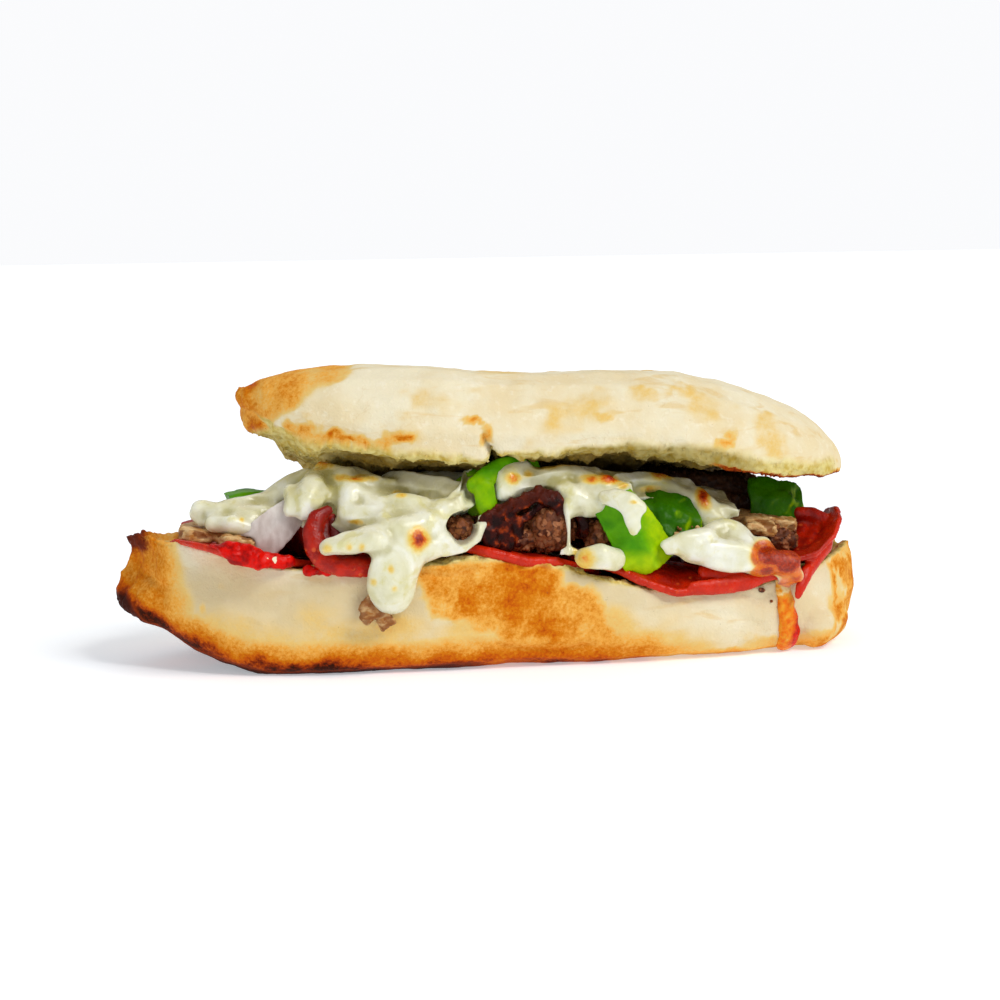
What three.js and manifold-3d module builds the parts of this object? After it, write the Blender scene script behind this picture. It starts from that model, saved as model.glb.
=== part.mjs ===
// A hot submarine sandwich: a long soft roll split along its side, filled with sliced pepperoni,
// crumbled beef, green pepper, mushroom and onion under melted cheese. Millimetres, +Z up, +X along
// the roll. The open side with the most filling faces -Y, and the lid slopes down towards +Y.
import * as THREE from "three";
import { mergeVertices } from "three/addons/utils/BufferGeometryUtils.js";
import Module from "manifold-3d";

const wasm = await Module();
wasm.setup();

// Driving dimensions.
const ROLL_LENGTH = 198;
const ROLL_WIDTH = 74;
const RIM_HOLLOW = 4.5; // how far the cut face dips between its rims
const RIM_SHARE = 0.9; // the cut face's edge, as a share of the half width
const BOW_LIFT = 17.5; // how high the left end stands off the table
const BOW_START = -58; // where the underside begins to rise towards it
const STERN_LIFT = 2.5; // the same at the right end
const TEAR_DEPTH = 3.2; // how far the notch in the torn left end goes in
const TEAR_HEIGHT = 24.5; // the notch's height over the table
const TEAR_SPAN = 15; // from the tip under the notch to the tip over it
const BLUNT_SWELL = 4; // how far the right end bulges at half its height
const LID_LEFT = -69;
const LID_RIGHT = 99;
const LID_WIDTH = 70;
const LID_HOLLOW = 2.2;
const END_INSET = 0.6; // the roundest last bit at each end, which a flat cap replaces
const SLICE_RADIUS = 24.5; // a pepperoni slice
const SLICE_THICK = 1.7;
const SLICE_TILT = 0.055; // each slice leans on the one before it, like a row of roof tiles
const SLICE_REST = 1.8; // height of a slice's middle over the face it lies on
const CRISP_THICK = 1.7;
const FILLING_LEFT = -60;
const FILLING_RIGHT = 84;
const FILLING_HALF_WIDTH = 18;
const FILLING_CLEARANCE = 7.2; // from the filling's top to the lid
const CHEESE_LEFT = -54;
const CHEESE_RIGHT = 64;
const CHEESE_HALF_WIDTH = 24;
const CHEESE_THICK = 3.4;
const GAP = 0.35; // clearance left where one piece is cut round another
const SLIVER = 1e-3; // an overlap, in cubic millimetres, that is too small to cut away

// Colours and surfaces.
const surface = (color, roughness) =>
  new THREE.MeshStandardMaterial({ color, roughness, metalness: 0 });
const BREAD = surface(0xe6d6ae, 0.85);
const PEPPERONI = surface(0xa82416, 0.35);
const BEEF = surface(0x5a3020, 0.7);
const PEPPER = surface(0x4f9410, 0.3);
const MUSHROOM = surface(0x9a6a3c, 0.6);
const ONION = surface(0xcfc9bd, 0.3);
const CHEESE = surface(0xe6e2bc, 0.4);
const CRISP = surface(0x6d2412, 0.5);

// ---- Small mathematics -------------------------------------------------------------------------

const mix = (a, b, t) => a + (b - a) * t;

const ease = (from, to, value) => {
  const t = Math.min(1, Math.max(0, (value - from) / (to - from)));
  return t * t * (3 - 2 * t);
};

/** Numbers from first to last, both included. */
const steps = (first, last, count) =>
  Array.from({ length: count }, (_, i) => mix(first, last, i / Math.max(1, count - 1)));

/** Evenly spaced angles round a circle, starting at 0. */
const circle = (count) => steps(0, 2 * Math.PI * (1 - 1 / count), count);

/** A smooth curve through knots [x, value], level beyond the first and the last. */
const profile = (...knots) => {
  const last = knots.length - 1;
  const slope = (j) => {
    const [x0, v0] = knots[Math.max(0, j - 1)];
    const [x1, v1] = knots[Math.min(last, j + 1)];
    return (v1 - v0) / (x1 - x0);
  };
  return (x) => {
    if (x <= knots[0][0]) return knots[0][1];
    if (x >= knots[last][0]) return knots[last][1];
    const i = knots.findIndex((knot) => knot[0] > x) - 1;
    const [[x0, v0], [x1, v1]] = [knots[i], knots[i + 1]];
    const span = x1 - x0;
    const t = (x - x0) / span;
    const rise = t * t * (3 - 2 * t);
    const leaving = t * (1 - t) * (1 - t) * span * slope(i);
    const arriving = t * t * (t - 1) * span * slope(i + 1);
    return mix(v0, v1, rise) + leaving + arriving;
  };
};

/** Unevenness from -1 to 1 with lumps about `size` across. */
const ripple = (point, size, seed) => {
  const k = (2 * Math.PI) / size;
  const { x, y, z } = point;
  return (
    (Math.sin(k * (x + 0.31 * y) + seed) +
      Math.sin(k * (0.83 * y - 0.45 * z) + 2.1 * seed) +
      Math.sin(k * (0.71 * z + 0.52 * x) + 3.7 * seed)) /
    3
  );
};

// ---- Turning points into closed bodies ---------------------------------------------------------

/** A geometry from points and index triples, turned to face outwards. */
function closed(points, faces) {
  const volume = faces.reduce((sum, [a, b, c]) => {
    const normal = new THREE.Vector3().crossVectors(points[b], points[c]);
    return sum + points[a].dot(normal);
  }, 0);
  const outward = volume > 0 ? faces : faces.map(([a, b, c]) => [a, c, b]);
  const geometry = new THREE.BufferGeometry().setFromPoints(points);
  return geometry.setIndex(outward.flat());
}

/** Joins a row of equal rings into one body, with a fan over each end. */
function loft(rings) {
  const n = rings[0].length;
  const middle = (ring) =>
    ring.reduce((sum, p) => sum.add(p), new THREE.Vector3()).divideScalar(n);
  const points = [...rings.flat(), middle(rings[0]), middle(rings.at(-1))];
  const [head, tail] = [points.length - 2, points.length - 1];
  const end = (rings.length - 1) * n;
  const faces = [];
  for (let i = 0; i < n; i++) {
    const j = (i + 1) % n;
    for (let r = 0; r < end; r += n) {
      faces.push([r + i, r + n + i, r + n + j], [r + i, r + n + j, r + j]);
    }
    faces.push([head, i, j], [tail, end + j, end + i]);
  }
  return closed(points, faces);
}

/**
 * A solid sheet. middle(u, v) is its mid surface for u and v from -1 to 1, and thick(u, v) its
 * thickness there.
 */
function sheet(across, along, middle, thick) {
  const nudge = 1e-3;
  const layer = (side) =>
    steps(-1, 1, across).flatMap((u) =>
      steps(-1, 1, along).map((v) => {
        const here = middle(u, v);
        const du = middle(u + nudge, v).sub(middle(u - nudge, v));
        const dv = middle(u, v + nudge).sub(middle(u, v - nudge));
        const normal = du.cross(dv).normalize();
        return here.addScaledVector(normal, (side * thick(u, v)) / 2);
      }),
    );
  const points = [...layer(1), ...layer(-1)];
  const under = across * along;
  const faces = [];
  for (let i = 0; i + 1 < across; i++) {
    for (let j = 0; j + 1 < along; j++) {
      const [a, b] = [i * along + j, (i + 1) * along + j];
      faces.push([a, b, b + 1], [a, b + 1, a + 1]);
      faces.push([under + a, under + b + 1, under + b]);
      faces.push([under + a, under + a + 1, under + b + 1]);
    }
  }
  const corner = (i, j) => i * along + j;
  const edge = [
    ...steps(0, across - 1, across).map((i) => corner(i, 0)),
    ...steps(1, along - 1, along - 1).map((j) => corner(across - 1, j)),
    ...steps(across - 2, 0, across - 1).map((i) => corner(i, along - 1)),
    ...steps(along - 2, 1, along - 2).map((j) => corner(0, j)),
  ];
  edge.forEach((a, k) => {
    const b = edge[(k + 1) % edge.length];
    faces.push([a, under + b, b], [a, under + a, under + b]);
  });
  return closed(points, faces);
}

/**
 * A round-ended strand along points [x, y, z, radius]. `flat` thins it from front to back, or from
 * top to bottom where it runs towards the front or the back.
 */
function strand(stops, flat = 1) {
  const sides = 5;
  const path = new THREE.CatmullRomCurve3(
    stops.map(([x, y, z]) => new THREE.Vector3(x, y, z)),
  );
  const radius = (t) => {
    const place = t * (stops.length - 1);
    const i = Math.min(stops.length - 2, Math.floor(place));
    return mix(stops[i][3], stops[i + 1][3], place - i);
  };
  const ring = (t, share, push) => {
    const tangent = path.getTangent(t);
    const lean = 0.6 * Math.max(-1, Math.min(1, 3 * tangent.y));
    const centre = path.getPoint(t).addScaledVector(tangent, push);
    const side = new THREE.Vector3(0, 1, lean).cross(tangent).normalize();
    const front = tangent.clone().cross(side);
    const r = radius(t) * share;
    return circle(sides).map((angle) =>
      centre
        .clone()
        .addScaledVector(side, r * Math.cos(angle))
        .addScaledVector(front, r * flat * Math.sin(angle)),
    );
  };
  const body = steps(0, 1, stops.length + 1).map((t) => ring(t, 1, 0));
  return loft([ring(0, 0.55, -0.75 * radius(0)), ...body, ring(1, 0.55, 0.75 * radius(1))]);
}

/** A lumpy ball, for a nugget of meat. */
function nugget(centre, radii, seed) {
  const geometry = mergedPositions(new THREE.IcosahedronGeometry(1, 1));
  const position = geometry.getAttribute("position");
  for (let i = 0; i < position.count; i++) {
    const p = new THREE.Vector3().fromBufferAttribute(position, i);
    const lump = 1 + 0.13 * ripple(p.clone().multiplyScalar(10), 9, seed);
    p.multiplyScalar(lump).multiply(radii).add(centre);
    position.setXYZ(i, p.x, p.y, p.z);
  }
  return geometry;
}

function mergedPositions(geometry) {
  const bare = geometry.clone();
  bare.deleteAttribute("normal");
  bare.deleteAttribute("uv");
  return mergeVertices(bare, 1e-4);
}

function solidOf(geometry) {
  const merged = mergedPositions(geometry);
  return new wasm.Manifold(
    new wasm.Mesh({
      numProp: 3,
      vertProperties: new Float32Array(merged.getAttribute("position").array),
      triVerts: new Uint32Array(merged.getIndex().array),
    }),
  );
}

function geometryOf(solid) {
  const { vertProperties, triVerts } = solid.getMesh();
  const geometry = new THREE.BufferGeometry();
  geometry.setAttribute("position", new THREE.BufferAttribute(vertProperties, 3));
  return geometry.setIndex(new THREE.BufferAttribute(triVerts, 1));
}

/** The same geometry with its surface moved outwards. */
function grown(geometry, distance) {
  const wide = mergedPositions(geometry);
  wide.computeVertexNormals();
  const position = wide.getAttribute("position");
  const normal = wide.getAttribute("normal");
  for (let i = 0; i < position.count; i++) {
    const p = new THREE.Vector3().fromBufferAttribute(position, i);
    p.addScaledVector(new THREE.Vector3().fromBufferAttribute(normal, i), distance);
    position.setXYZ(i, p.x, p.y, p.z);
  }
  return wide;
}

/** Several closed geometries joined into one. */
const joined = (...geometries) =>
  geometryOf(geometries.map(solidOf).reduce((all, next) => all.add(next)));

// ---- Placing pieces ----------------------------------------------------------------------------

const sandwich = new THREE.Group();
const placed = [];

/** Adds a piece as a named mesh, cut back where it would meet a piece that is already there. */
function place(name, geometry, material) {
  geometry.computeBoundingBox();
  const box = geometry.boundingBox.clone().expandByScalar(2 * GAP);
  let solid = solidOf(geometry);
  for (const other of placed.filter((piece) => piece.box.intersectsBox(box))) {
    // The thinner cuts clear sharp edges, which the wide one can miss.
    for (const clearance of [GAP, GAP / 2, 0]) {
      const cutter = solidOf(grown(other.geometry, clearance));
      if (solid.intersect(cutter).volume() > SLIVER) solid = solid.subtract(cutter);
    }
  }
  const bodies = solid.decompose().sort((a, b) => b.volume() - a.volume());
  const mesh = new THREE.Mesh(geometryOf(bodies[0]), material);
  mesh.name = name;
  mesh.geometry.computeBoundingBox();
  placed.push({ geometry: mesh.geometry, box: mesh.geometry.boundingBox });
  sandwich.add(mesh);
}

// ---- The roll ----------------------------------------------------------------------------------

const frontRim = profile(
  [-95, 34.5],
  [-80, 34],
  [-62, 30],
  [-30, 29],
  [-6, 30],
  [12, 27],
  [30, 21.5],
  [50, 19],
  [68, 20],
  [84, 23.5],
  [97, 28],
);
const rearRim = profile([-95, 33], [-60, 29.5], [0, 27.5], [60, 25], [97, 27]);

/** The roll's half width at x: pointed at the left end and blunt at the right one. */
const rollHalfWidth = (x) => {
  const t = Math.abs(x) / (ROLL_LENGTH / 2);
  const [fullness, roundness] = x < 0 ? [3.4, 0.62] : [4.6, 0.5];
  return (ROLL_WIDTH / 2) * (1 - t ** fullness) ** roundness;
};

/** The underside: flat on the table, with the left end lifted like a boat's bow. */
const underside = (x) =>
  BOW_LIFT * Math.max(0, (BOW_START - x) / 41) ** 1.9 +
  STERN_LIFT * Math.max(0, (x - 88) / 11) ** 2;

/** Height of the lower half's cut face. */
const cutFace = (x, y) => {
  const edge = RIM_SHARE * rollHalfWidth(Math.max(-97, Math.min(97, x)));
  const share = Math.max(-1, Math.min(1, y / edge));
  const dip = RIM_HOLLOW * Math.min(1, edge / 20) * (1 - share * share);
  return mix(frontRim(x), rearRim(x), (share + 1) / 2) - dip;
};

// The side wall from the rim to the base, as [share of the half width, share of the height].
const WALL = [
  [0.972, 0.965],
  [1.0, 0.82],
  [1.0, 0.52],
  [0.975, 0.26],
  [0.9, 0.08],
  [0.76, 0],
];

/** Places from -1 to 1 along a piece, closer together towards its ends. */
const endwise = (count) => {
  const span = 0.93;
  const sweep = (t) => Math.sin((t * span * Math.PI) / 2) / Math.sin((span * Math.PI) / 2);
  return steps(-1, 1, count).map(sweep);
};

function lowerHalf() {
  const rings = endwise(25).map((along) => {
    const x = (ROLL_LENGTH / 2 - END_INSET) * along;
    const half = rollHalfWidth(x);
    const base = underside(x);
    const cut = steps(RIM_SHARE, -RIM_SHARE, 6).map((share) => {
      return [share * half, cutFace(x, share * half)];
    });
    const wall = (side, rim) =>
      WALL.map(([share, height]) => [side * share * half, mix(base, rim, height)]);
    const outline = [
      ...cut,
      ...wall(-1, frontRim(x)),
      [-0.3 * half, base],
      [0.3 * half, base],
      ...wall(1, rearRim(x)).reverse(),
    ];
    // The left end is torn into an upper and a lower tip with a notch between them, and the right
    // end swells at half its height.
    const torn = TEAR_DEPTH * ease(-84, -99, x);
    const swell = BLUNT_SWELL * ease(72, 99, x);
    const height = frontRim(x) + RIM_HOLLOW - base;
    return outline.map(([y, z]) => {
      const notch = torn * Math.cos((2 * Math.PI * (z - TEAR_HEIGHT)) / TEAR_SPAN);
      const bulge = swell * Math.sin((Math.PI * (z - base)) / height);
      return new THREE.Vector3(x + notch + bulge, y, z);
    });
  });
  return loft(rings);
}

const lidRim = profile(
  [-67, 70],
  [-63, 67],
  [-58, 64],
  [-51, 61.5],
  [-40, 60],
  [-20, 57.8],
  [-6, 56.6],
  [12, 57],
  [29, 57.2],
  [45, 55],
  [57, 51.5],
  [69, 48.8],
  [82, 47.2],
  [99, 47],
);
const lidSlope = profile([-60, -0.36], [-20, -0.33], [30, -0.27], [60, -0.13], [95, -0.03]);
const lidCrown = profile(
  [-67, 5],
  [-64, 11.5],
  [-58, 18],
  [-50, 23.5],
  [-38, 27],
  [-18, 29.2],
  [-4, 28.8],
  [12, 27.2],
  [30, 26.2],
  [47, 26.6],
  [60, 26],
  [72, 24],
  [82, 20],
  [91, 13.5],
  [97, 7],
  [99, 3],
);

const lidHalfWidth = (x) => {
  const t = (2 * (x - LID_LEFT)) / (LID_RIGHT - LID_LEFT) - 1;
  const fullness = t < 0 ? 3.2 : 3.6;
  return (LID_WIDTH / 2) * Math.sqrt(Math.max(0, 1 - Math.abs(t) ** fullness));
};

/** Height of the lid's cut face, which slopes down to the back. */
const lidFace = (x, y) => {
  const half = Math.max(4, lidHalfWidth(x));
  const share = Math.max(-1, Math.min(1, y / half));
  const hollow = LID_HOLLOW * Math.min(1, half / 20) * (1 - share * share);
  return lidRim(x) + lidSlope(x) * (share + 1) * half + hollow;
};

function upperHalf() {
  const middle = (LID_LEFT + LID_RIGHT) / 2;
  const reach = (LID_RIGHT - LID_LEFT) / 2 - END_INSET;
  const rings = endwise(23).map((along) => {
    const x = middle + reach * along;
    const half = lidHalfWidth(x);
    const cut = steps(0.98, -0.98, 6).map((share) => {
      return [share * half, lidFace(x, share * half)];
    });
    const crust = steps(0.04, 0.96, 11).map((turn) => {
      const cosine = -Math.cos(turn * Math.PI);
      const across = Math.sign(cosine) * Math.abs(cosine) ** 0.72;
      const chord = lidRim(x) + lidSlope(x) * (across + 1) * half;
      return [across * half * 1.02, chord + lidCrown(x) * Math.sin(turn * Math.PI) ** 0.78];
    });
    // The left end is broken off on a slant, further in at the back.
    const slant = 0.42 * ease(-15, -58, x);
    return [...cut, ...crust].map(([y, z]) => {
      return new THREE.Vector3(x + slant * Math.max(0, y + 4), y, z);
    });
  });
  return loft(rings);
}

// ---- Sliced meat -------------------------------------------------------------------------------

/** How a slice lies when none of its edge rolls up. */
const FLAT = { side: 1, start: Infinity, bend: 1, fade: [0, 1] };

/**
 * A round slice lying on the roll, its left edge on the slice before it. `lift` raises the whole
 * slice, and `tilt` is how much it leans. Beyond `roll.start` from the middle, the edge towards
 * `roll.side` (+1 right, -1 left) rolls up round a bend of radius `roll.bend`, from nothing at the
 * first `roll.fade` behind the middle to the whole bend at the second.
 */
function slice({ x, y, radius = SLICE_RADIUS, roll = FLAT, lift = 0, tilt = SLICE_TILT, seed }) {
  const { side, start, bend, fade } = roll;
  const at = (u, v, level) => {
    const beyond = Math.max(0, side * u - start);
    const curl = ease(fade[0], fade[1], v) / bend + 1e-6;
    const turn = beyond * curl;
    const reach = beyond > 0 ? side * (start + Math.sin(turn) / curl) : u;
    const p = new THREE.Vector3(x + reach - side * Math.sin(turn) * level, y + v, 0);
    const bedX = Math.max(-91, Math.min(91, p.x));
    const bed = cutFace(bedX, Math.max(-31, Math.min(31, p.y)));
    const droop = 0.07 * Math.max(0, Math.abs(p.y) - 32) ** 2;
    const wave = 0.5 * ripple(new THREE.Vector3(p.x, p.y, 0), 26, 1);
    const rise = (1 - Math.cos(turn)) / curl + level * Math.cos(turn);
    p.z = bed + SLICE_REST + lift + tilt * (x + radius - bedX) + rise + wave - droop;
    return p;
  };
  const curled = start < radius;
  const half = SLICE_THICK / 2;
  const face = curled ? [0.4, 0.62, 0.8] : [0.45];
  const sections = [
    ...face.map((share) => [share, -half]),
    [0.99, -0.5 * half],
    [0.99, 0.5 * half],
    ...face.map((share) => [share, half]).reverse(),
  ];
  const rings = sections.map(([share, level]) =>
    circle(curled ? 20 : 16).map((angle) => {
      const uneven = 1 + 0.025 * Math.sin(3 * angle + seed) + 0.015 * Math.sin(5 * angle - seed);
      const r = radius * share * uneven;
      return at(r * Math.cos(angle), r * Math.sin(angle), level);
    }),
  );
  return loft(rings);
}

const LEFT_ROLL = { side: -1, start: 6, bend: 7.6, fade: [6, -12] };
const RIGHT_ROLL = { side: 1, start: 6, bend: 12.5, fade: [24, 2] };

function pepperoniRows() {
  const front = [
    { x: -66, y: -10, radius: 23, lift: -0.65, tilt: 0, seed: 0.4 },
    { x: -38.5, y: -12, roll: LEFT_ROLL, seed: 1.3 },
    { x: 3, y: -12.5, seed: 2.2 },
    { x: 43, y: -12.5, radius: 26, seed: 3.1 },
    { x: 76, y: -9, radius: 24, roll: RIGHT_ROLL, lift: 0.7, seed: 4.0 },
  ];
  const back = [
    { x: -68, y: 13, radius: 16, lift: 1.6, tilt: 0, seed: 5.1 },
    { x: -36, y: 16, radius: 22.5, lift: 2.6, seed: 6.2 },
    { x: 3, y: 16, radius: 22.5, lift: 2.6, seed: 7.3 },
    { x: 43, y: 16, radius: 22.5, lift: 2.6, seed: 8.4 },
    { x: 76, y: 12, radius: 17, lift: 3.6, seed: 9.5 },
  ];
  front.forEach((spec, i) => place(`pepperoni_front_${i + 1}`, slice(spec), PEPPERONI));
  back.forEach((spec, i) => place(`pepperoni_back_${i + 1}`, slice(spec), PEPPERONI));
}

/** A slice that has crisped and curled into an arch, open to the front. */
function crispArch() {
  const arch = new THREE.CatmullRomCurve3(
    [
      [-4, 30.8],
      [-1.5, 34.5],
      [3, 38.5],
      [7.5, 42.6],
      [12.5, 44.6],
      [17.3, 42.6],
      [19.6, 38],
      [20, 33.5],
    ].map(([x, z]) => new THREE.Vector3(x, 0, z)),
  );
  const middle = (u, v) => {
    const p = arch.getPoint(Math.max(0, Math.min(1, (u + 1) / 2)));
    p.y = -26 + 4.5 * v + 1.3 * Math.sin(5 * u + 1);
    p.z += 0.6 * Math.sin(9 * u) * (1 - v);
    return p;
  };
  return sheet(12, 3, middle, () => CRISP_THICK);
}

/** Height of the crumbled filling's top at (x, y). */
const fillingTop = (x, y) => Math.min(fillingCrest(x), lidFace(x, y) - FILLING_CLEARANCE);
const fillingCrest = profile([-66, 36], [-45, 41.5], [0, 43], [30, 42.5], [60, 38.5], [84, 34]);

/** The crumbled beef that fills the middle from end to end. */
function beefFilling() {
  const rings = steps(-1, 1, 11).map((t) => {
    const x = mix(FILLING_LEFT, FILLING_RIGHT, (t + 1) / 2);
    const half = FILLING_HALF_WIDTH * (1 - 0.7 * Math.abs(t) ** 5);
    return circle(10).map((angle) => {
      const y = 1 + half * Math.sign(Math.cos(angle)) * Math.abs(Math.cos(angle)) ** 0.8;
      const low = cutFace(x, y) + 9.2;
      const high = Math.max(low + 3, fillingTop(x, y));
      const p = new THREE.Vector3(x, y, mix(low, high, (Math.sin(angle) + 1) / 2));
      p.z -= 0.5 * (1 + ripple(p, 13, 5)) * Math.max(0, Math.sin(angle));
      return p;
    });
  });
  return loft(rings);
}

function beefNuggets() {
  const nuggets = [
    [12, -26.5, 36, 6.4, 6, 6.4],
    [3.2, -26.5, 33, 4.6, 4.6, 3.6],
    [-12.5, -27, 36, 4.4, 4.5, 4],
    [24.5, -26.5, 33.5, 3.6, 5, 5],
    [75.5, -21, 29.5, 6, 5.5, 3.6],
    [64, -21, 30.5, 4.4, 4, 3],
  ];
  nuggets.forEach(([x, y, z, rx, ry, rz], i) => {
    const centre = new THREE.Vector3(x, y, z);
    const radii = new THREE.Vector3(rx, ry, rz);
    place(`beef_nugget_${i + 1}`, nugget(centre, radii, 1.7 * i + 0.5), BEEF);
  });
}

// ---- Vegetables --------------------------------------------------------------------------------

/** Turns a piece made lying down: first tipped up (x), then rolled (y), then swung round (z). */
const turned = (degrees) => new THREE.Euler(...degrees.map(THREE.MathUtils.degToRad), "ZYX");

/**
 * A strip of green pepper: `length` along its own X, bent along it round a radius of `bend`, its
 * sides bowed back by `bow`, then turned and moved into place.
 */
function pepperStrip({ at, turn, length, width, thick = 3.4, bend, bow = 1, taper = 0.15 }) {
  const rotation = turned(turn);
  const middle = (u, v) => {
    const angle = (u * length) / 2 / bend;
    const narrow = 1 - taper * u - 0.12 * u ** 4;
    const p = new THREE.Vector3(
      bend * Math.sin(angle),
      (v * width * narrow) / 2,
      bend * (Math.cos(angle) - 1) - bow * v * v,
    );
    return p.applyEuler(rotation).add(new THREE.Vector3(...at));
  };
  return sheet(5, 3, middle, () => thick);
}

/** The strip that stands up at the front, wider towards its lower end. */
const FRONT_STRIP = {
  at: [33.4, -35.2, 34.6],
  turn: [78, 60, 0],
  length: 21,
  width: 12.5,
  bend: 26,
  bow: 2.4,
  taper: -0.12,
};

function peppers() {
  const strips = [
    { at: [-1.5, -23.5, 49.6], turn: [62, -28, 0], length: 22, width: 10, bend: 22 },
    FRONT_STRIP,
    { at: [45, -26, 38.4], turn: [58, 10, 0], length: 15, width: 12, bend: 16 },
    { at: [79, -11, 39.6], turn: [66, 6, 8], length: 15, width: 10.5, bend: 14 },
    { at: [-64.4, -5, 44.4], turn: [16, 4, 8], length: 14, width: 8, thick: 3, bend: 20 },
    { at: [-14, 30.5, 36.4], turn: [-42, 4, 6], length: 19, width: 7, bend: 26 },
    { at: [47, 30, 37], turn: [-38, -6, -8], length: 20, width: 8, bend: 24 },
  ];
  strips.forEach((spec, i) => place(`pepper_strip_${i + 1}`, pepperStrip(spec), PEPPER));
}

/** A slice through a mushroom: the cap's arch with the stem under it. */
function mushroomSlice({ at, turn, cap, thick, sag = 0 }) {
  const stem = cap * 0.3;
  const outline = new THREE.Shape();
  outline.moveTo(-stem, -cap * 1.05);
  outline.lineTo(stem, -cap);
  outline.lineTo(stem * 0.9, -cap * 0.25);
  outline.lineTo(cap * 0.86, -cap * 0.34);
  outline.bezierCurveTo(cap * 1.2, cap * 0.1, cap * 0.75, cap * 0.78, 0, cap * 0.8);
  outline.bezierCurveTo(-cap * 0.75, cap * 0.78, -cap * 1.2, cap * 0.1, -cap * 0.86, -cap * 0.34);
  outline.lineTo(-stem * 0.9, -cap * 0.25);
  const geometry = new THREE.ExtrudeGeometry(outline, {
    depth: thick - 1.2,
    curveSegments: 4,
    bevelEnabled: true,
    bevelThickness: 0.6,
    bevelSize: 0.5,
    bevelSegments: 1,
  });
  const position = geometry.getAttribute("position");
  const rotation = turned(turn);
  for (let i = 0; i < position.count; i++) {
    const p = new THREE.Vector3().fromBufferAttribute(position, i);
    p.z += -thick / 2 - sag * (p.x / cap) ** 2;
    p.applyEuler(rotation).add(new THREE.Vector3(...at));
    position.setXYZ(i, p.x, p.y, p.z);
  }
  return geometry;
}

function mushrooms() {
  const slices = [
    { at: [-73, -14, 36.4], turn: [4, 7, 14], cap: 12.5, thick: 3, sag: 0.6 },
    { at: [71, -15, 35.4], turn: [6, 5, -6], cap: 12, thick: 3, sag: 1 },
    { at: [-57, -5, 41.4], turn: [8, 10, 130], cap: 8.5, thick: 2.6 },
    { at: [-36, -39.6, 18.6], turn: [84, -28, 0], cap: 5, thick: 2.6 },
    { at: [49, -29, 32.8], turn: [60, 12, 10], cap: 4.6, thick: 2.4 },
    { at: [66, 21, 36], turn: [-10, 4, 150], cap: 10, thick: 2.8 },
  ];
  slices.forEach((spec, i) => place(`mushroom_slice_${i + 1}`, mushroomSlice(spec), MUSHROOM));
}

/** A curved strip of onion, thinner towards its edges. */
function onionStrip({ at, turn, length, width, bend }) {
  const rotation = turned(turn);
  const middle = (u, v) => {
    const angle = (u * length) / 2 / bend;
    const narrow = 1 - 0.25 * u - 0.3 * u * u;
    const p = new THREE.Vector3(
      bend * Math.sin(angle),
      (v * width * narrow) / 2,
      bend * (Math.cos(angle) - 1) - 0.8 * v * v,
    );
    return p.applyEuler(rotation).add(new THREE.Vector3(...at));
  };
  return sheet(6, 3, middle, (u, v) => 2.4 - 0.7 * v * v);
}

function onions() {
  const strips = [
    { at: [-60.5, -24, 38.6], turn: [74, -40, 8], length: 20, width: 9, bend: 22 },
    { at: [-67, -9, 40.4], turn: [24, -6, 20], length: 16, width: 6, bend: 26 },
    { at: [15, 30, 35], turn: [-38, 4, 2], length: 20, width: 8, bend: 24 },
  ];
  strips.forEach((spec, i) => place(`onion_strip_${i + 1}`, onionStrip(spec), ONION));
}

// ---- Cheese ------------------------------------------------------------------------------------

/** The melted sheet over the beef, hanging lower along its edges and furthest at the front left. */
function cheeseSheet() {
  const middle = (u, v) => {
    const x = mix(CHEESE_LEFT, CHEESE_RIGHT, (u + 1) / 2);
    const uneven = 2 * Math.sin(0.19 * x + 1) + 1.4 * Math.sin(0.41 * x);
    const skirt = ease(-6, -20, x) * ease(-56, -46, x) * ease(0.35, 1, -v);
    const y = v * (CHEESE_HALF_WIDTH + uneven * Math.abs(v)) - 7 * skirt;
    const sag = 3 * Math.abs(v) ** 4 + 4.5 * skirt;
    const bed = fillingTop(x, Math.max(-CHEESE_HALF_WIDTH, y));
    const p = new THREE.Vector3(x, y, bed + 3 - sag);
    p.z += 0.6 * ripple(p, 17, 2);
    return p;
  };
  return sheet(11, 5, middle, (u, v) => CHEESE_THICK - 0.6 * Math.abs(v));
}

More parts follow.
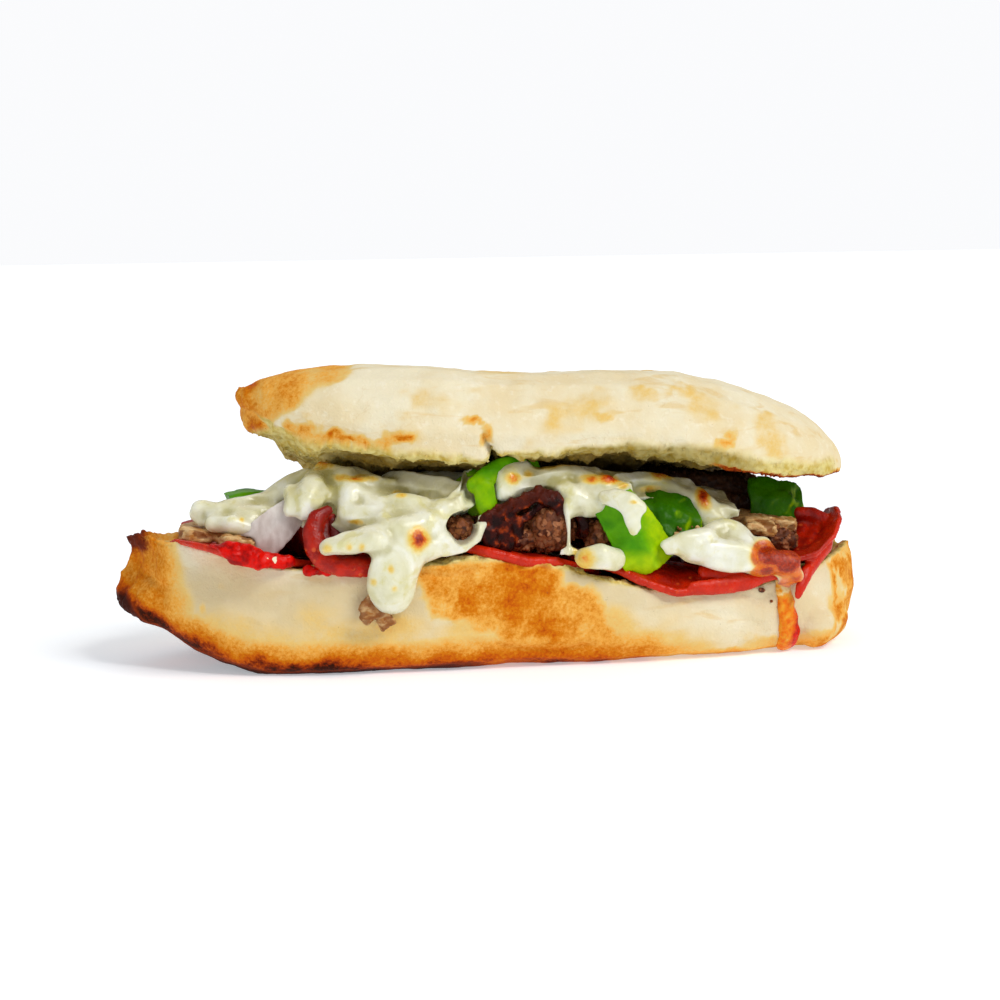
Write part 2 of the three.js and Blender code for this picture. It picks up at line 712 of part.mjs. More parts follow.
function mainCheese() {
  const runs = [
    // The mass at the left, with the folds that run down from it.
    [[[-50, -14, 48, 3.6], [-48, -20, 47, 4.2], [-51, -25.5, 44.6, 3]], 0.9],
    [[[-46, -12, 49, 3.8], [-38, -22, 46.5, 5], [-34, -29, 41.5, 4.6]], 0.9],
    [[[-30, -15, 48, 3.6], [-24, -21, 47.5, 4.2], [-15, -24, 46, 4]], 0.8],
    [[[-41, -30, 41, 3.8], [-33, -32, 41, 4.2], [-17, -32, 41.5, 3]], 0.85],
    // The finger that points left, and the thick drip over the roll's side.
    [[[-48.5, -37.4, 34.6, 2.7], [-41, -37.8, 36.4, 3.6], [-27, -36, 38.4, 5]], 0.7],
    [[[-28, -35, 37, 6.4], [-30, -38.2, 31.5, 6.4], [-31.6, -38.6, 22.8, 5]], 0.55],
    // Two strings that frame a dark hole.
    [[[-3, -27, 50, 2.6], [-13, -31.4, 44.4, 2.9], [-22, -34, 39.5, 3.4]], 0.9],
    [[[-7.5, -32, 40, 1.6], [-11, -35.6, 36, 1.8], [-22, -37.4, 33.6, 3]], 0.9],
    // The band along the top right, its lobes and the thin string under it.
    [[[0, -28.5, 46, 3], [4, -28.5, 49, 3.6], [25, -22, 48.6, 3.4]], 0.8],
    [[[14, -28, 46.6, 3], [21, -32, 43.6, 3], [31, -29.5, 46, 3.4]], 0.85],
    [[[30, -25, 47, 3.4], [40, -19, 46.4, 3.2], [52, -15, 43.6, 3]], 0.9],
    [[[15.4, -32, 43, 1.6], [15.2, -34, 37, 1.1], [14.6, -35, 32, 1.6]], 0.9],
    [[[51, -17, 43, 3.2], [54.5, -22, 40.5, 3.4], [58, -25.5, 36, 3]], 0.85],
    // Loose lobes at the back.
    [[[-34, 16, 40, 3.2], [-33, 25, 37, 3.2], [-32, 33, 32.5, 2.4]], 0.8],
    [[[28, 14, 43, 3.2], [29, 25, 39.5, 3.4], [30, 37, 31.5, 2.6]], 0.7],
  ];
  return joined(cheeseSheet(), ...runs.map(([stops, flat]) => strand(stops, flat)));
}

function leftCheese() {
  return joined(
    strand([[-78, -14, 42, 2.6], [-72, -18, 41.2, 3.2], [-66, -20.5, 40.6, 2.2]], 0.9),
    strand([[-75, -15, 42.4, 2.4], [-67, -14, 44.4, 2.4], [-60, -14, 45, 2.2]], 0.9),
  );
}

function rightCheese() {
  return joined(
    strand([[42, -36, 30.5, 2.6], [50, -34.5, 32, 3.4], [58.5, -28.5, 35, 3]], 0.85),
    strand([[47, -35.5, 29, 3.2], [57, -35, 28.8, 4.4], [67, -34.5, 26, 3.2]], 0.75),
    strand([[57, -29.5, 34.5, 3], [61, -33, 31, 4], [64, -34.2, 27.6, 3.4]], 0.9),
    strand([[66, -35, 25, 3.6], [71, -35.5, 25.8, 4], [76, -34, 25.6, 3]], 0.8),
    strand([[73, -35.4, 23, 2.6], [74.8, -33, 15, 2], [75.6, -31.6, 4.2, 2]], 0.8),
  );
}

function cheesePieces() {
  place("cheese_blanket", mainCheese(), CHEESE);
  place("cheese_left", leftCheese(), CHEESE);
  place("cheese_right", rightCheese(), CHEESE);
  const finger = strand([[19.5, -37, 29.4, 2.8], [23, -37.4, 29, 3.5], [27.5, -36.8, 28.2, 3]], 0.75);
  place("cheese_finger", finger, CHEESE);
  const patch = strand([[25, -35, 45, 2.2], [29.5, -38.4, 42.6, 2.3], [32, -39.8, 37.5, 2]], 0.6);
  place("cheese_on_pepper", patch, CHEESE);
}

// ---- The whole ---------------------------------------------------------------------------------

place("roll_lower", lowerHalf(), BREAD);
place("roll_upper", upperHalf(), BREAD);
pepperoniRows();
peppers();
mushrooms();
onions();
place("pepperoni_crisp", crispArch(), CRISP);
beefNuggets();
place("beef_filling", beefFilling(), BEEF);
cheesePieces();

// The origin is under the middle of the whole, on the surface that it stands on.
const bounds = new THREE.Box3().setFromObject(sandwich);
const centre = bounds.getCenter(new THREE.Vector3());
sandwich.position.set(-centre.x, -centre.y, -bounds.min.z);

export default sandwich;
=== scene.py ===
"""The looks of a hot submarine sandwich, built round its solid model and laid out as an add-on.

Shapes are worked out in millimetres from ORIGIN, which is under the middle of the roll, with +X
along the roll, -Y towards the open side and +Z up. Objects are in metres.
"""

import itertools
import math

import bmesh
import bpy
import numpy as np
from bpy.props import FloatProperty, FloatVectorProperty, IntProperty, PointerProperty
from mathutils import Matrix, Vector
from mathutils.bvhtree import BVHTree


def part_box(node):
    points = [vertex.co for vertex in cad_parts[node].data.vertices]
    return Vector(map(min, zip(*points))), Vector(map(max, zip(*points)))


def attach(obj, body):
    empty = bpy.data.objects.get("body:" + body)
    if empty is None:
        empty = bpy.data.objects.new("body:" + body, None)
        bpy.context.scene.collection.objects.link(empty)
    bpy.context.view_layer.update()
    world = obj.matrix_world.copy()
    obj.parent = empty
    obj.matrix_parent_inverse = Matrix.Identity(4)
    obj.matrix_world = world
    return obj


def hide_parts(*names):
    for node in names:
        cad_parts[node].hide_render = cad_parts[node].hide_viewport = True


bl_info = {
    "name": "Hot Sub Sandwich",
    "version": (1, 0, 0),
    "blender": (4, 5, 0),
    "location": "3D View > Sidebar > Sandwich",
    "description": "Builds the bread, fillings and melted cheese of a hot sub round its solid model",
    "category": "Mesh",
}

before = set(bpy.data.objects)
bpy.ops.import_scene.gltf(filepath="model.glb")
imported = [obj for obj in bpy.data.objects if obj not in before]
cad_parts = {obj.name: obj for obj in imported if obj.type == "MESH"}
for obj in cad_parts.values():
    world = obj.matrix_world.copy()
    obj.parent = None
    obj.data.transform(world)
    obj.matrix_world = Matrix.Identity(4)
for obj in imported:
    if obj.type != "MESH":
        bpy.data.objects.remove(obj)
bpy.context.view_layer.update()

MM = 0.001
ROLL_LOW, ROLL_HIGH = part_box("roll_lower")
END_SWELL = 0.38  # how far the swollen blunt end moves the middle of the roll's box
ORIGIN = np.array(
    [(ROLL_LOW.x + ROLL_HIGH.x) / 2 - END_SWELL * MM, (ROLL_LOW.y + ROLL_HIGH.y) / 2, ROLL_LOW.z]
)


def tint(red, green, blue):
    """A linear colour from display values of 0 to 255."""
    linear = [
        c / 12.92 if c <= 0.04045 else ((c + 0.055) / 1.055) ** 2.4
        for c in (red / 255, green / 255, blue / 255)
    ]
    return (*linear, 1.0)


def distance_property(name, description, millimetres):
    """A length setting whose usual value is given in millimetres."""
    return FloatProperty(
        name=name,
        description=description,
        default=millimetres * MM,
        min=0.0001,
        precision=5,
        subtype="DISTANCE",
        unit="LENGTH",
    )


def colour_property(name, description, red, green, blue):
    """A colour setting whose usual value is given as display values of 0 to 255."""
    return FloatVectorProperty(
        name=name,
        description=description,
        default=tint(red, green, blue),
        size=4,
        min=0.0,
        max=1.0,
        subtype="COLOR",
    )


class SandwichSettings(bpy.types.PropertyGroup):
    """Sizes and colours of the sandwich."""

    bread_detail: distance_property("Bread Detail", "Size of the faces on the bread", 0.8)
    slice_detail: distance_property("Slice Detail", "Size of the faces on sliced meat", 0.5)
    filling_detail: distance_property("Filling Detail", "Size of the faces on beef and greens", 0.4)
    cheese_detail: distance_property("Cheese Detail", "Size of the faces on cheese", 0.55)
    grain_size: distance_property("Grain Size", "Width of a grain of crumbled beef", 1.5)
    crumb_size: distance_property("Crumb Size", "Width of a loose crumb of bread", 0.7)
    seed: IntProperty(name="Seed", description="Changes where loose things fall", default=7)
    crust: colour_property("Crust", "Pale floured crust", 238, 228, 198)
    crumb: colour_property("Crumb", "Soft inside of the bread", 242, 226, 150)
    toast: colour_property("Toast", "Golden toasted crust", 212, 124, 10)
    char: colour_property("Char", "Burnt tips of the bread", 62, 24, 14)
    pepperoni: colour_property("Pepperoni", "Cured sausage", 204, 34, 2)
    fat: colour_property("Fat", "Specks in the sausage", 226, 96, 40)
    beef: colour_property("Beef", "Crumbled beef", 128, 68, 32)
    pepper_skin: colour_property("Pepper Skin", "Outside of the green pepper", 104, 178, 0)
    pepper_flesh: colour_property("Pepper Flesh", "Cut side of the green pepper", 172, 206, 0)
    mushroom: colour_property("Mushroom", "Cut side of the mushroom", 224, 188, 132)
    onion: colour_property("Onion", "Onion", 200, 188, 180)
    cheese: colour_property("Cheese", "Melted cheese", 230, 228, 200)
    sauce: colour_property("Sauce", "Tomato sauce", 222, 12, 0)


def settings():
    """The sandwich's sizes and colours."""
    return bpy.context.scene.sandwich


# ---- Arrays and noise ---------------------------------------------------------------------------


def ease(start, end, value):
    """0 before start and 1 after end, smooth between them. The two may be in either order."""
    t = np.clip((value - start) / (end - start), 0.0, 1.0)
    return t * t * (3 - 2 * t)


def hashed(cells, seed):
    """A repeatable number from 0 to 1 for each row of whole-number cells."""
    x, y, z = np.moveaxis(cells.astype(np.int64).astype(np.uint32), -1, 0)
    mixed = x * np.uint32(374761393) + y * np.uint32(668265263) + z * np.uint32(2246822519)
    mixed = mixed + np.uint32((seed * 3266489917) & 0xFFFFFFFF)
    mixed = (mixed ^ (mixed >> np.uint32(15))) * np.uint32(2654435761)
    mixed = (mixed ^ (mixed >> np.uint32(13))) * np.uint32(1597334677)
    return (mixed ^ (mixed >> np.uint32(16))) / 2.0**32


def noise(points, size, seed):
    """Smooth noise from -1 to 1, with lumps about `size` across."""
    place = points / size
    cell = np.floor(place)
    part = place - cell
    part = part * part * (3 - 2 * part)
    total = 0.0
    for corner in itertools.product((0, 1), repeat=3):
        share = np.prod(np.where(corner, part, 1 - part), axis=-1)
        total = total + share * hashed(cell + np.array(corner), seed)
    return 2 * total - 1


def fractal(points, size, seed, octaves):
    """Noise with finer noise on it. Each octave is half as wide and half as strong."""
    return sum(0.5**i * noise(points, size * 0.5**i, seed + 31 * i) for i in range(octaves))


def cells(points, size, seed):
    """Distance to the nearest and the second nearest of a scatter of seeds, over `size`."""
    place = points / size
    base = np.floor(place)
    first = np.full(len(points), 9.0)
    second = first.copy()
    for offset in itertools.product((-1, 0, 1), repeat=3):
        cell = base + np.array(offset)
        seeds = cell + np.stack([hashed(cell, seed + k) for k in range(3)], axis=-1)
        distance = np.linalg.norm(place - seeds, axis=-1)
        second = np.minimum(second, np.maximum(first, distance))
        first = np.minimum(first, distance)
    return first, second


def spots(points, places):
    """The strongest of a list of soft spots (x, y, z, reach in x, in y, in z, strength)."""
    total = np.zeros(len(points))
    for x, y, z, reach_x, reach_y, reach_z, strength in places:
        away = (points - (x, y, z)) / (reach_x, reach_y, reach_z)
        total = np.maximum(total, strength * np.exp(-np.sum(away * away, axis=1)))
    return total


def along_path(points, path):
    """Distance from each point to a path of (x, z) stops, as seen from the front."""
    flat = points[:, (0, 2)]
    best = np.full(len(points), 1e9)
    for start, end in zip(path, path[1:]):
        start, end = np.array(start, float), np.array(end, float)
        step = end - start
        t = np.clip((flat - start) @ step / (step @ step), 0, 1)
        best = np.minimum(best, np.linalg.norm(flat - start - t[:, None] * step, axis=1))
    return best


SMOOTHING_PULLS = (0.5, -0.53)  # in, and then back out by a little more


class Clay:
    """A piece's mesh as arrays for shaping, its points in millimetres from ORIGIN."""

    def __init__(self, piece):
        self.mesh = piece.data
        count = len(self.mesh.vertices)
        flat = np.empty(count * 3, np.float32)
        self.mesh.vertices.foreach_get("co", flat)
        self.points = (flat.reshape(-1, 3).astype(float) - ORIGIN) / MM
        pairs = np.empty(len(self.mesh.edges) * 2, np.int32)
        self.mesh.edges.foreach_get("vertices", pairs)
        self.ends = pairs.reshape(-1, 2).T

    def save(self):
        """Puts the points back into the mesh."""
        flat = (self.points * MM + ORIGIN).astype(np.float32).ravel()
        self.mesh.vertices.foreach_set("co", flat)
        self.mesh.update()

    def normals(self):
        """The way out of the surface at each point."""
        self.save()
        flat = np.empty(len(self.points) * 3, np.float32)
        self.mesh.vertex_normals.foreach_get("vector", flat)
        return flat.reshape(-1, 3).astype(float)

    def push(self, distance):
        """Moves the surface outwards, by one distance or by one for each point."""
        self.points += self.normals() * np.reshape(distance, (-1, 1))

    def average(self, values):
        """Each point's mean of its neighbours' values."""
        a, b = self.ends
        count = len(self.points)
        links = np.bincount(a, minlength=count) + np.bincount(b, minlength=count)
        columns = values.reshape(count, -1).T
        total = [np.bincount(a, c[b], count) + np.bincount(b, c[a], count) for c in columns]
        return (np.stack(total, axis=-1) / np.maximum(links, 1)[:, None]).reshape(values.shape)

    def hollows(self, rounds):
        """How far each point lies below a smoothed copy of the surface, in millimetres."""
        smooth = self.points
        for _ in range(rounds):
            smooth = self.average(smooth)
        return np.sum((smooth - self.points) * self.normals(), axis=1)

    def pinch(self, runs, reach, share):
        """Draws what lies within reach of the runs in towards their middle lines."""
        nearest = self.points.copy()
        best = np.full(len(self.points), 1e9)
        for stops, _ in runs:
            stops = np.array(stops, float)[:, :3]
            for start, end in zip(stops, stops[1:]):
                step = end - start
                t = np.clip((self.points - start) @ step / (step @ step), 0, 1)
                place = start + t[:, None] * step
                distance = np.linalg.norm(self.points - place, axis=1)
                closer = distance < best
                best[closer], nearest[closer] = distance[closer], place[closer]
        pull = share * ease(reach, 0.6 * reach, best)
        self.points += (nearest - self.points) * pull[:, None]

    def relax(self, rounds):
        """Smooths the surface without shrinking it."""
        for _ in range(rounds):
            for pull in SMOOTHING_PULLS:
                self.points += pull * (self.average(self.points) - self.points)

    def mark(self, name, values):
        """Stores a number for each point, for the materials to read."""
        layer = self.mesh.attributes.get(name)
        layer = layer or self.mesh.attributes.new(name, "FLOAT", "POINT")
        layer.data.foreach_set("value", np.clip(values, 0, 1).astype(np.float32))


# ---- Making pieces ------------------------------------------------------------------------------

BALL_SPACING = 0.45  # from ball to ball along a run, over the smaller radius
WELD_DISTANCE = 2e-6
PER_CM2 = 1e4  # how many to the square metre one to the square centimetre is


def link(name, mesh):
    """Adds a mesh to the scene as a piece."""
    piece = bpy.data.objects.new(name, mesh)
    bpy.context.scene.collection.objects.link(piece)
    return piece


def apply_modifiers(piece):
    """Turns a piece with modifiers into a plain mesh."""
    graph = bpy.context.evaluated_depsgraph_get()
    old = piece.data
    mesh = bpy.data.meshes.new_from_object(piece.evaluated_get(graph), depsgraph=graph)
    piece.modifiers.clear()
    piece.data = mesh
    mesh.name = piece.name
    bpy.data.meshes.remove(old)


def voxel_remesh(piece, detail):
    """Makes a piece one closed skin with faces about `detail` across."""
    modifier = piece.modifiers.new("Remesh", "REMESH")
    modifier.mode = "VOXEL"
    modifier.voxel_size = detail
    apply_modifiers(piece)


def balls_along(runs):
    """Each ball's centre and radii in millimetres, close enough together to melt into one body."""
    for stops, squash in runs:
        stops = np.array(stops, float)
        for start, end in zip(stops, stops[1:]):
            length = np.linalg.norm((end - start)[:3])
            count = max(2, math.ceil(length / (BALL_SPACING * min(start[3], end[3]))))
            for share in np.linspace(0, 1, count, endpoint=False):
                ball = start + share * (end - start)
                yield ball[:3], ball[3] * np.array(squash, float)
        yield stops[-1, :3], stops[-1, 3] * np.array(squash, float)


def add_balls(mesh, balls):
    """Adds a closed ball for each (centre, radii, turn)."""
    shape = bmesh.new()
    shape.from_mesh(mesh)
    for centre, radii, turn in balls:
        place = Matrix.Translation(Vector(centre * MM + ORIGIN)) @ turn @ Matrix.Diagonal((*radii, 1))
        bmesh.ops.create_icosphere(shape, subdivisions=2, radius=MM, matrix=place)
    shape.to_mesh(mesh)
    shape.free()


def round_run(*stops):
    """A run of (x, y, z, radius) stops that is round all along."""
    return stops, (1, 1, 1)


def flat_run(*stops):
    """A run that is thin from front to back, for films and rims seen from the front."""
    return stops, (1, 0.5, 1)


def low_run(*stops):
    """A run that is thin from top to bottom, for what lies flat."""
    return stops, (1, 1, 0.55)


def fine_copy(node, detail, rounds, swell=0.0, runs=()):
    """A finely meshed and smoothed copy of a solid, swollen first and with runs melted in."""
    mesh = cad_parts[node].data.copy()
    shape = bmesh.new()
    shape.from_mesh(mesh)
    bmesh.ops.remove_doubles(shape, verts=shape.verts, dist=WELD_DISTANCE)
    shape.to_mesh(mesh)
    shape.free()
    mesh.materials.clear()
    piece = link(node + "_fine", mesh)
    if swell:
        clay = Clay(piece)
        clay.push(swell)
        clay.save()
    level = Matrix.Identity(4)
    add_balls(mesh, [(centre, radii, level) for centre, radii in balls_along(runs)])
    voxel_remesh(piece, detail)
    clay = Clay(piece)
    clay.relax(rounds)
    return piece, clay


def close_gaps(piece, clay, detail, reach, rounds):
    """Fills notches narrower than twice `reach`, as soft cheese does."""
    clay.push(reach)
    clay.save()
    voxel_remesh(piece, detail)
    clay = Clay(piece)
    clay.relax(rounds)
    clay.push(-reach)
    clay.relax(2)
    return clay


def surface_tree(*pieces):
    """What to search for the nearest point on any of the pieces."""
    points, faces = [], []
    for piece in pieces:
        first = len(points)
        points += [vertex.co for vertex in piece.data.vertices]
        faces += [tuple(first + i for i in face.vertices) for face in piece.data.polygons]
    return BVHTree.FromPolygons(points, faces)


def film(name, runs, tree, thinness, lift, detail, rounds):
    """A thin closed layer that hugs a surface along runs of stops.

    Thinness is its thickness over its width, and lift is how high it lies, in millimetres.
    """
    piece = link(name, bpy.data.meshes.new(name))
    balls = []
    for centre, radii in balls_along(runs):
        place, normal, _, _ = tree.find_nearest(Vector(centre * MM + ORIGIN))
        turn = normal.to_track_quat("Z", "Y").to_matrix().to_4x4()
        centre = (np.array(place + normal * lift * MM) - ORIGIN) / MM
        balls.append((centre, radii * (1, 1, thinness), turn))
    add_balls(piece.data, balls)
    voxel_remesh(piece, detail)
    clay = Clay(piece)
    clay.relax(rounds)
    return piece, clay


def finish_piece(piece, material, slot, *nodes):
    """Gives a piece its material and its body, and hides the solids that it stands for. The slot is not
    used.
    """
    piece.data.materials.clear()
    piece.data.materials.append(material)
    piece.data.polygons.foreach_set("use_smooth", [True] * len(piece.data.polygons))
    piece.data.update()
    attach(piece, "root")
    if nodes:
        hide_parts(*nodes)


# ---- Material nodes -----------------------------------------------------------------------------


class Graph:
    """Adds nodes to a tree in short lines. Sizes are in millimetres."""

    def __init__(self, tree):
        self.tree = tree

    def add(self, kind, options=None, **inputs):
        node = self.tree.nodes.new(kind)
        for name, value in (options or {}).items():
            setattr(node, name, value)
        for name, value in inputs.items():
            self.feed(node.inputs[name.replace("_", " ")], value)
        return node

    def feed(self, socket, value):
        if isinstance(value, bpy.types.NodeSocket):
            self.tree.links.new(value, socket)
        else:
            socket.default_value = value

    def place(self):
        return self.add("ShaderNodeTexCoord").outputs["Object"]

    def attribute(self, name):
        return self.add("ShaderNodeAttribute", {"attribute_name": name}).outputs["Fac"]

    def cloud(self, size, detail=3.0, roughness=0.5, distortion=0.0, stretch=None):
        """Soft noise from 0 to 1, with lumps about `size` across."""
        vector = self.place()
        if stretch:
            vector = self.add("ShaderNodeMapping", Vector=vector, Scale=stretch).outputs["Vector"]
        return self.add(
            "ShaderNodeTexNoise",
            Vector=vector,
            Scale=1 / (size * MM),
            Detail=detail,
            Roughness=roughness,
            Distortion=distortion,
        ).outputs["Fac"]

    def grains(self, size):
        """A cell pattern with cells about `size` across."""
        return self.add("ShaderNodeTexVoronoi", Vector=self.place(), Scale=1 / (size * MM))

    def math(self, operation, a, b=0.0):
        node = self.add("ShaderNodeMath", {"operation": operation})
        self.feed(node.inputs[0], a)
        self.feed(node.inputs[1], b)
        return node.outputs[0]

    def span(self, value, low, high, start=0.0, end=1.0):
        """Maps low..high to start..end, smoothly and with nothing beyond."""
        node = self.add("ShaderNodeMapRange", {"interpolation_type": "SMOOTHSTEP"}, Value=value)
        for name, number in zip(("From Min", "From Max", "To Min", "To Max"), (low, high, start, end)):
            self.feed(node.inputs[name], number)
        return node.outputs["Result"]

    def patches(self, size, start, end):
        """Soft patches about `size` across, from start to end."""
        return self.span(self.cloud(size), 0.3, 0.7, start, end)

    def roughen(self, value, cloud, amount):
        """Adds noise of 0 to 1 to a value, so that it swings about it by `amount` in all."""
        swing = self.math("MULTIPLY", self.math("SUBTRACT", cloud, 0.5), amount)
        return self.math("ADD", value, swing)

    def mix(self, share, a, b):
        """Colour a where share is 0 and colour b where it is 1."""
        node = self.add("ShaderNodeMix", {"data_type": "RGBA"})
        self.feed(node.inputs[0], share)
        self.feed(node.inputs[6], a)
        self.feed(node.inputs[7], b)
        return node.outputs[2]

    def ramp(self, value, *stops):
        """A colour for each value, from (value, colour) stops."""
        node = self.add("ShaderNodeValToRGB", Fac=value)
        elements = node.color_ramp.elements
        while len(elements) < len(stops):
            elements.new(0.5)
        for element, (position, colour) in zip(elements, stops):
            element.position = position
            element.color = colour
        return node.outputs["Color"]

    def bump(self, height, distance):
        """A normal from a height of 0 to 1 that stands for `distance` millimetres."""
        node = self.add("ShaderNodeBump", Height=height, Distance=distance * MM, Strength=1.0)
        return node.outputs["Normal"]

    def group(self, tree, **inputs):
        node = self.add("ShaderNodeGroup", {"node_tree": tree})
        for name, value in inputs.items():
            self.feed(node.inputs[name], value)
        return node

    def mottled(self, size, low, high, warp=0.0):
        """The Mottle group's mask, with patches about `size` across."""
        return self.group(mottle_group(), Size=size, Low=low, High=high, Warp=warp).outputs["Mask"]

    def relief(self, coarse, fine, balance):
        """The Relief group's height, uneven in two sizes."""
        node = self.group(relief_group(), Coarse=coarse, Fine=fine, Balance=balance)
        return node.outputs["Height"]


def shader_group(name, inputs, outputs):
    """An empty node group with float inputs (name, default) and outputs (name, kind)."""
    tree = bpy.data.node_groups.new(name, "ShaderNodeTree")
    for label, default in inputs:
        socket = tree.interface.new_socket(label, in_out="INPUT", socket_type="NodeSocketFloat")
        socket.default_value = default
    for label, kind in outputs:
        tree.interface.new_socket(label, in_out="OUTPUT", socket_type="NodeSocket" + kind)
    graph = Graph(tree)
    return tree, graph, graph.add("NodeGroupInput").outputs, graph.add("NodeGroupOutput").inputs


def mottle_group():
    """A ragged mask: noise of a given size, cut between two levels and roughened."""
    if "Mottle" in bpy.data.node_groups:
        return bpy.data.node_groups["Mottle"]
    tree, graph, given, out = shader_group(
        "Mottle",
        [("Size", 5.0), ("Low", 0.45), ("High", 0.6), ("Warp", 0.0)],
        [("Mask", "Float")],
    )
    scale = graph.math("DIVIDE", 1 / MM, given["Size"])
    texture = graph.add(
        "ShaderNodeTexNoise", Vector=graph.place(), Scale=scale, Detail=5.0, Roughness=0.6
    )
    graph.feed(texture.inputs["Distortion"], given["Warp"])
    mask = graph.span(texture.outputs["Fac"], given["Low"], given["High"])
    graph.feed(out["Mask"], mask)
    return tree


def relief_group():
    """Two scales of surface unevenness, as a height from 0 to 1."""
    if "Relief" in bpy.data.node_groups:
        return bpy.data.node_groups["Relief"]
    tree, graph, given, out = shader_group(
        "Relief",
        [("Coarse", 3.0), ("Fine", 0.5), ("Balance", 0.4)],
        [("Height", "Float")],
    )
    heights = []
    for label in ("Coarse", "Fine"):
        scale = graph.math("DIVIDE", 1 / MM, given[label])
        texture = graph.add("ShaderNodeTexNoise", Vector=graph.place(), Scale=scale, Detail=4.0)
        heights.append(texture.outputs["Fac"])
    fine = graph.math("MULTIPLY", heights[1], given["Balance"])
    rest = graph.math("SUBTRACT", 1.0, given["Balance"])
    graph.feed(out["Height"], graph.math("ADD", graph.math("MULTIPLY", heights[0], rest), fine))
    return tree


def new_material(name):
    """A new material, what adds nodes to it, and its shader."""
    material = bpy.data.materials.new(name)
    material.use_nodes = True
    tree = material.node_tree
    shader = tree.nodes["Principled BSDF"]
    return material, Graph(tree), shader


def kept_material(name):
    """Builds the material on the first call and finds it by its name afterwards."""

    def wrap(build):
        return lambda: bpy.data.materials.get(name) or build(name)

    return wrap


def soften(shader, weight, radius, reach, gloss=0.3):
    """Lets light spread under the surface, `reach` millimetres times each colour's radius."""
    shader.inputs["Specular IOR Level"].default_value = gloss
    shader.inputs["Subsurface Weight"].default_value = weight
    shader.inputs["Subsurface Radius"].default_value = radius
    shader.inputs["Subsurface Scale"].default_value = reach * MM


def coat(g, shader, colour, roughness, height, depth):
    """Gives a surface its colour, its roughness and its unevenness, `depth` millimetres deep."""
    g.feed(shader.inputs["Base Color"], colour)
    g.feed(shader.inputs["Roughness"], roughness)
    g.feed(shader.inputs["Normal"], g.bump(height, depth))


@kept_material("toasted bread")
def bread_material(name):
    """Crust and crumb. Reads how toasted, burnt and soft inside it is, and where painted shade dulls
    the lower wall and darkens the crumb under the fillings.
    """
    material, g, shader = new_material(name)
    s = settings()
    toast, char, crumb = (g.attribute(name) for name in ("toast", "char", "crumb"))
    fine = g.cloud(0.9, detail=6.0, roughness=0.7)
    broad = g.cloud(16.0, detail=4.0)
    # Toasting is ragged where it starts, with pale flour left in it.
    browned = g.roughen(toast, fine, g.span(toast, 0.05, 0.4, 0.0, 0.72))
    crust = g.mix(g.span(broad, 0.35, 0.65, 0.0, 0.6), s.crust, tint(230, 206, 154))
    powder = g.mottled(2.4, 0.52, 0.72)
    crust = g.mix(g.math("MULTIPLY", powder, 0.45), crust, tint(248, 240, 218))
    brushed = g.cloud(5.0, detail=5.0, distortion=0.4, stretch=(0.3, 1.0, 1.5))
    crust = g.mix(g.span(brushed, 0.56, 0.7, 0.0, 0.5), crust, tint(224, 188, 112))
    lines = g.math("ABSOLUTE", g.math("SUBTRACT", g.cloud(7.0, detail=4.0, distortion=0.8), 0.5))
    cracked = g.mottled(12.0, 0.54, 0.62)
    cracks = g.math("MULTIPLY", g.span(lines, 0.012, 0.0), cracked)
    crust = g.mix(g.math("MULTIPLY", cracks, 0.22), crust, tint(214, 174, 100))
    # Painted shade: the lower half's wall is duller and darker below its rim.
    crust = g.mix(g.attribute("bare"), crust, tint(212, 192, 148))
    baked = g.ramp(
        browned,
        (0.0, tint(230, 210, 158)),
        (0.16, tint(232, 196, 118)),
        (0.34, tint(236, 170, 72)),
        (0.54, s.toast),
        (0.7, tint(196, 88, 4)),
        (0.86, tint(134, 44, 4)),
        (1.0, tint(56, 18, 4)),
    )
    colour = g.mix(g.span(browned, 0.03, 0.16), crust, baked)
    soft = g.mix(g.span(g.cloud(2.2, detail=5.0), 0.35, 0.7), s.crumb, tint(214, 184, 84))
    # Painted shade: the crumb turns dark brown where it lies under the lid and the fillings.
    soft = g.mix(g.attribute("soaked"), soft, tint(104, 76, 4))
    colour = g.mix(g.math("MULTIPLY", crumb, g.span(toast, 0.85, 0.4)), colour, soft)
    burnt = g.roughen(char, fine, 0.6)
    scorched = g.ramp(burnt, (0.3, tint(156, 62, 12)), (0.6, tint(104, 36, 14)), (0.85, s.char))
    colour = g.mix(g.span(burnt, 0.1, 0.55), colour, scorched)
    fleck = g.mottled(1.3, 0.7, 0.74)
    colour = g.mix(g.math("MULTIPLY", fleck, 0.45), colour, tint(120, 96, 60))
    pores = g.math("MULTIPLY", g.grains(1.7).outputs["Distance"], g.span(crumb, 0.2, 0.8))
    height = g.math("ADD", g.relief(3.4, 0.6, 0.35), pores)
    height = g.math("SUBTRACT", height, g.math("MULTIPLY", cracks, 0.06))
    coat(g, shader, colour, g.span(browned, 0.1, 0.7, 0.86, 0.6), height, 0.5)
    soften(shader, 0.06, (1.0, 0.75, 0.45), 1.2, gloss=0.06)
    return material


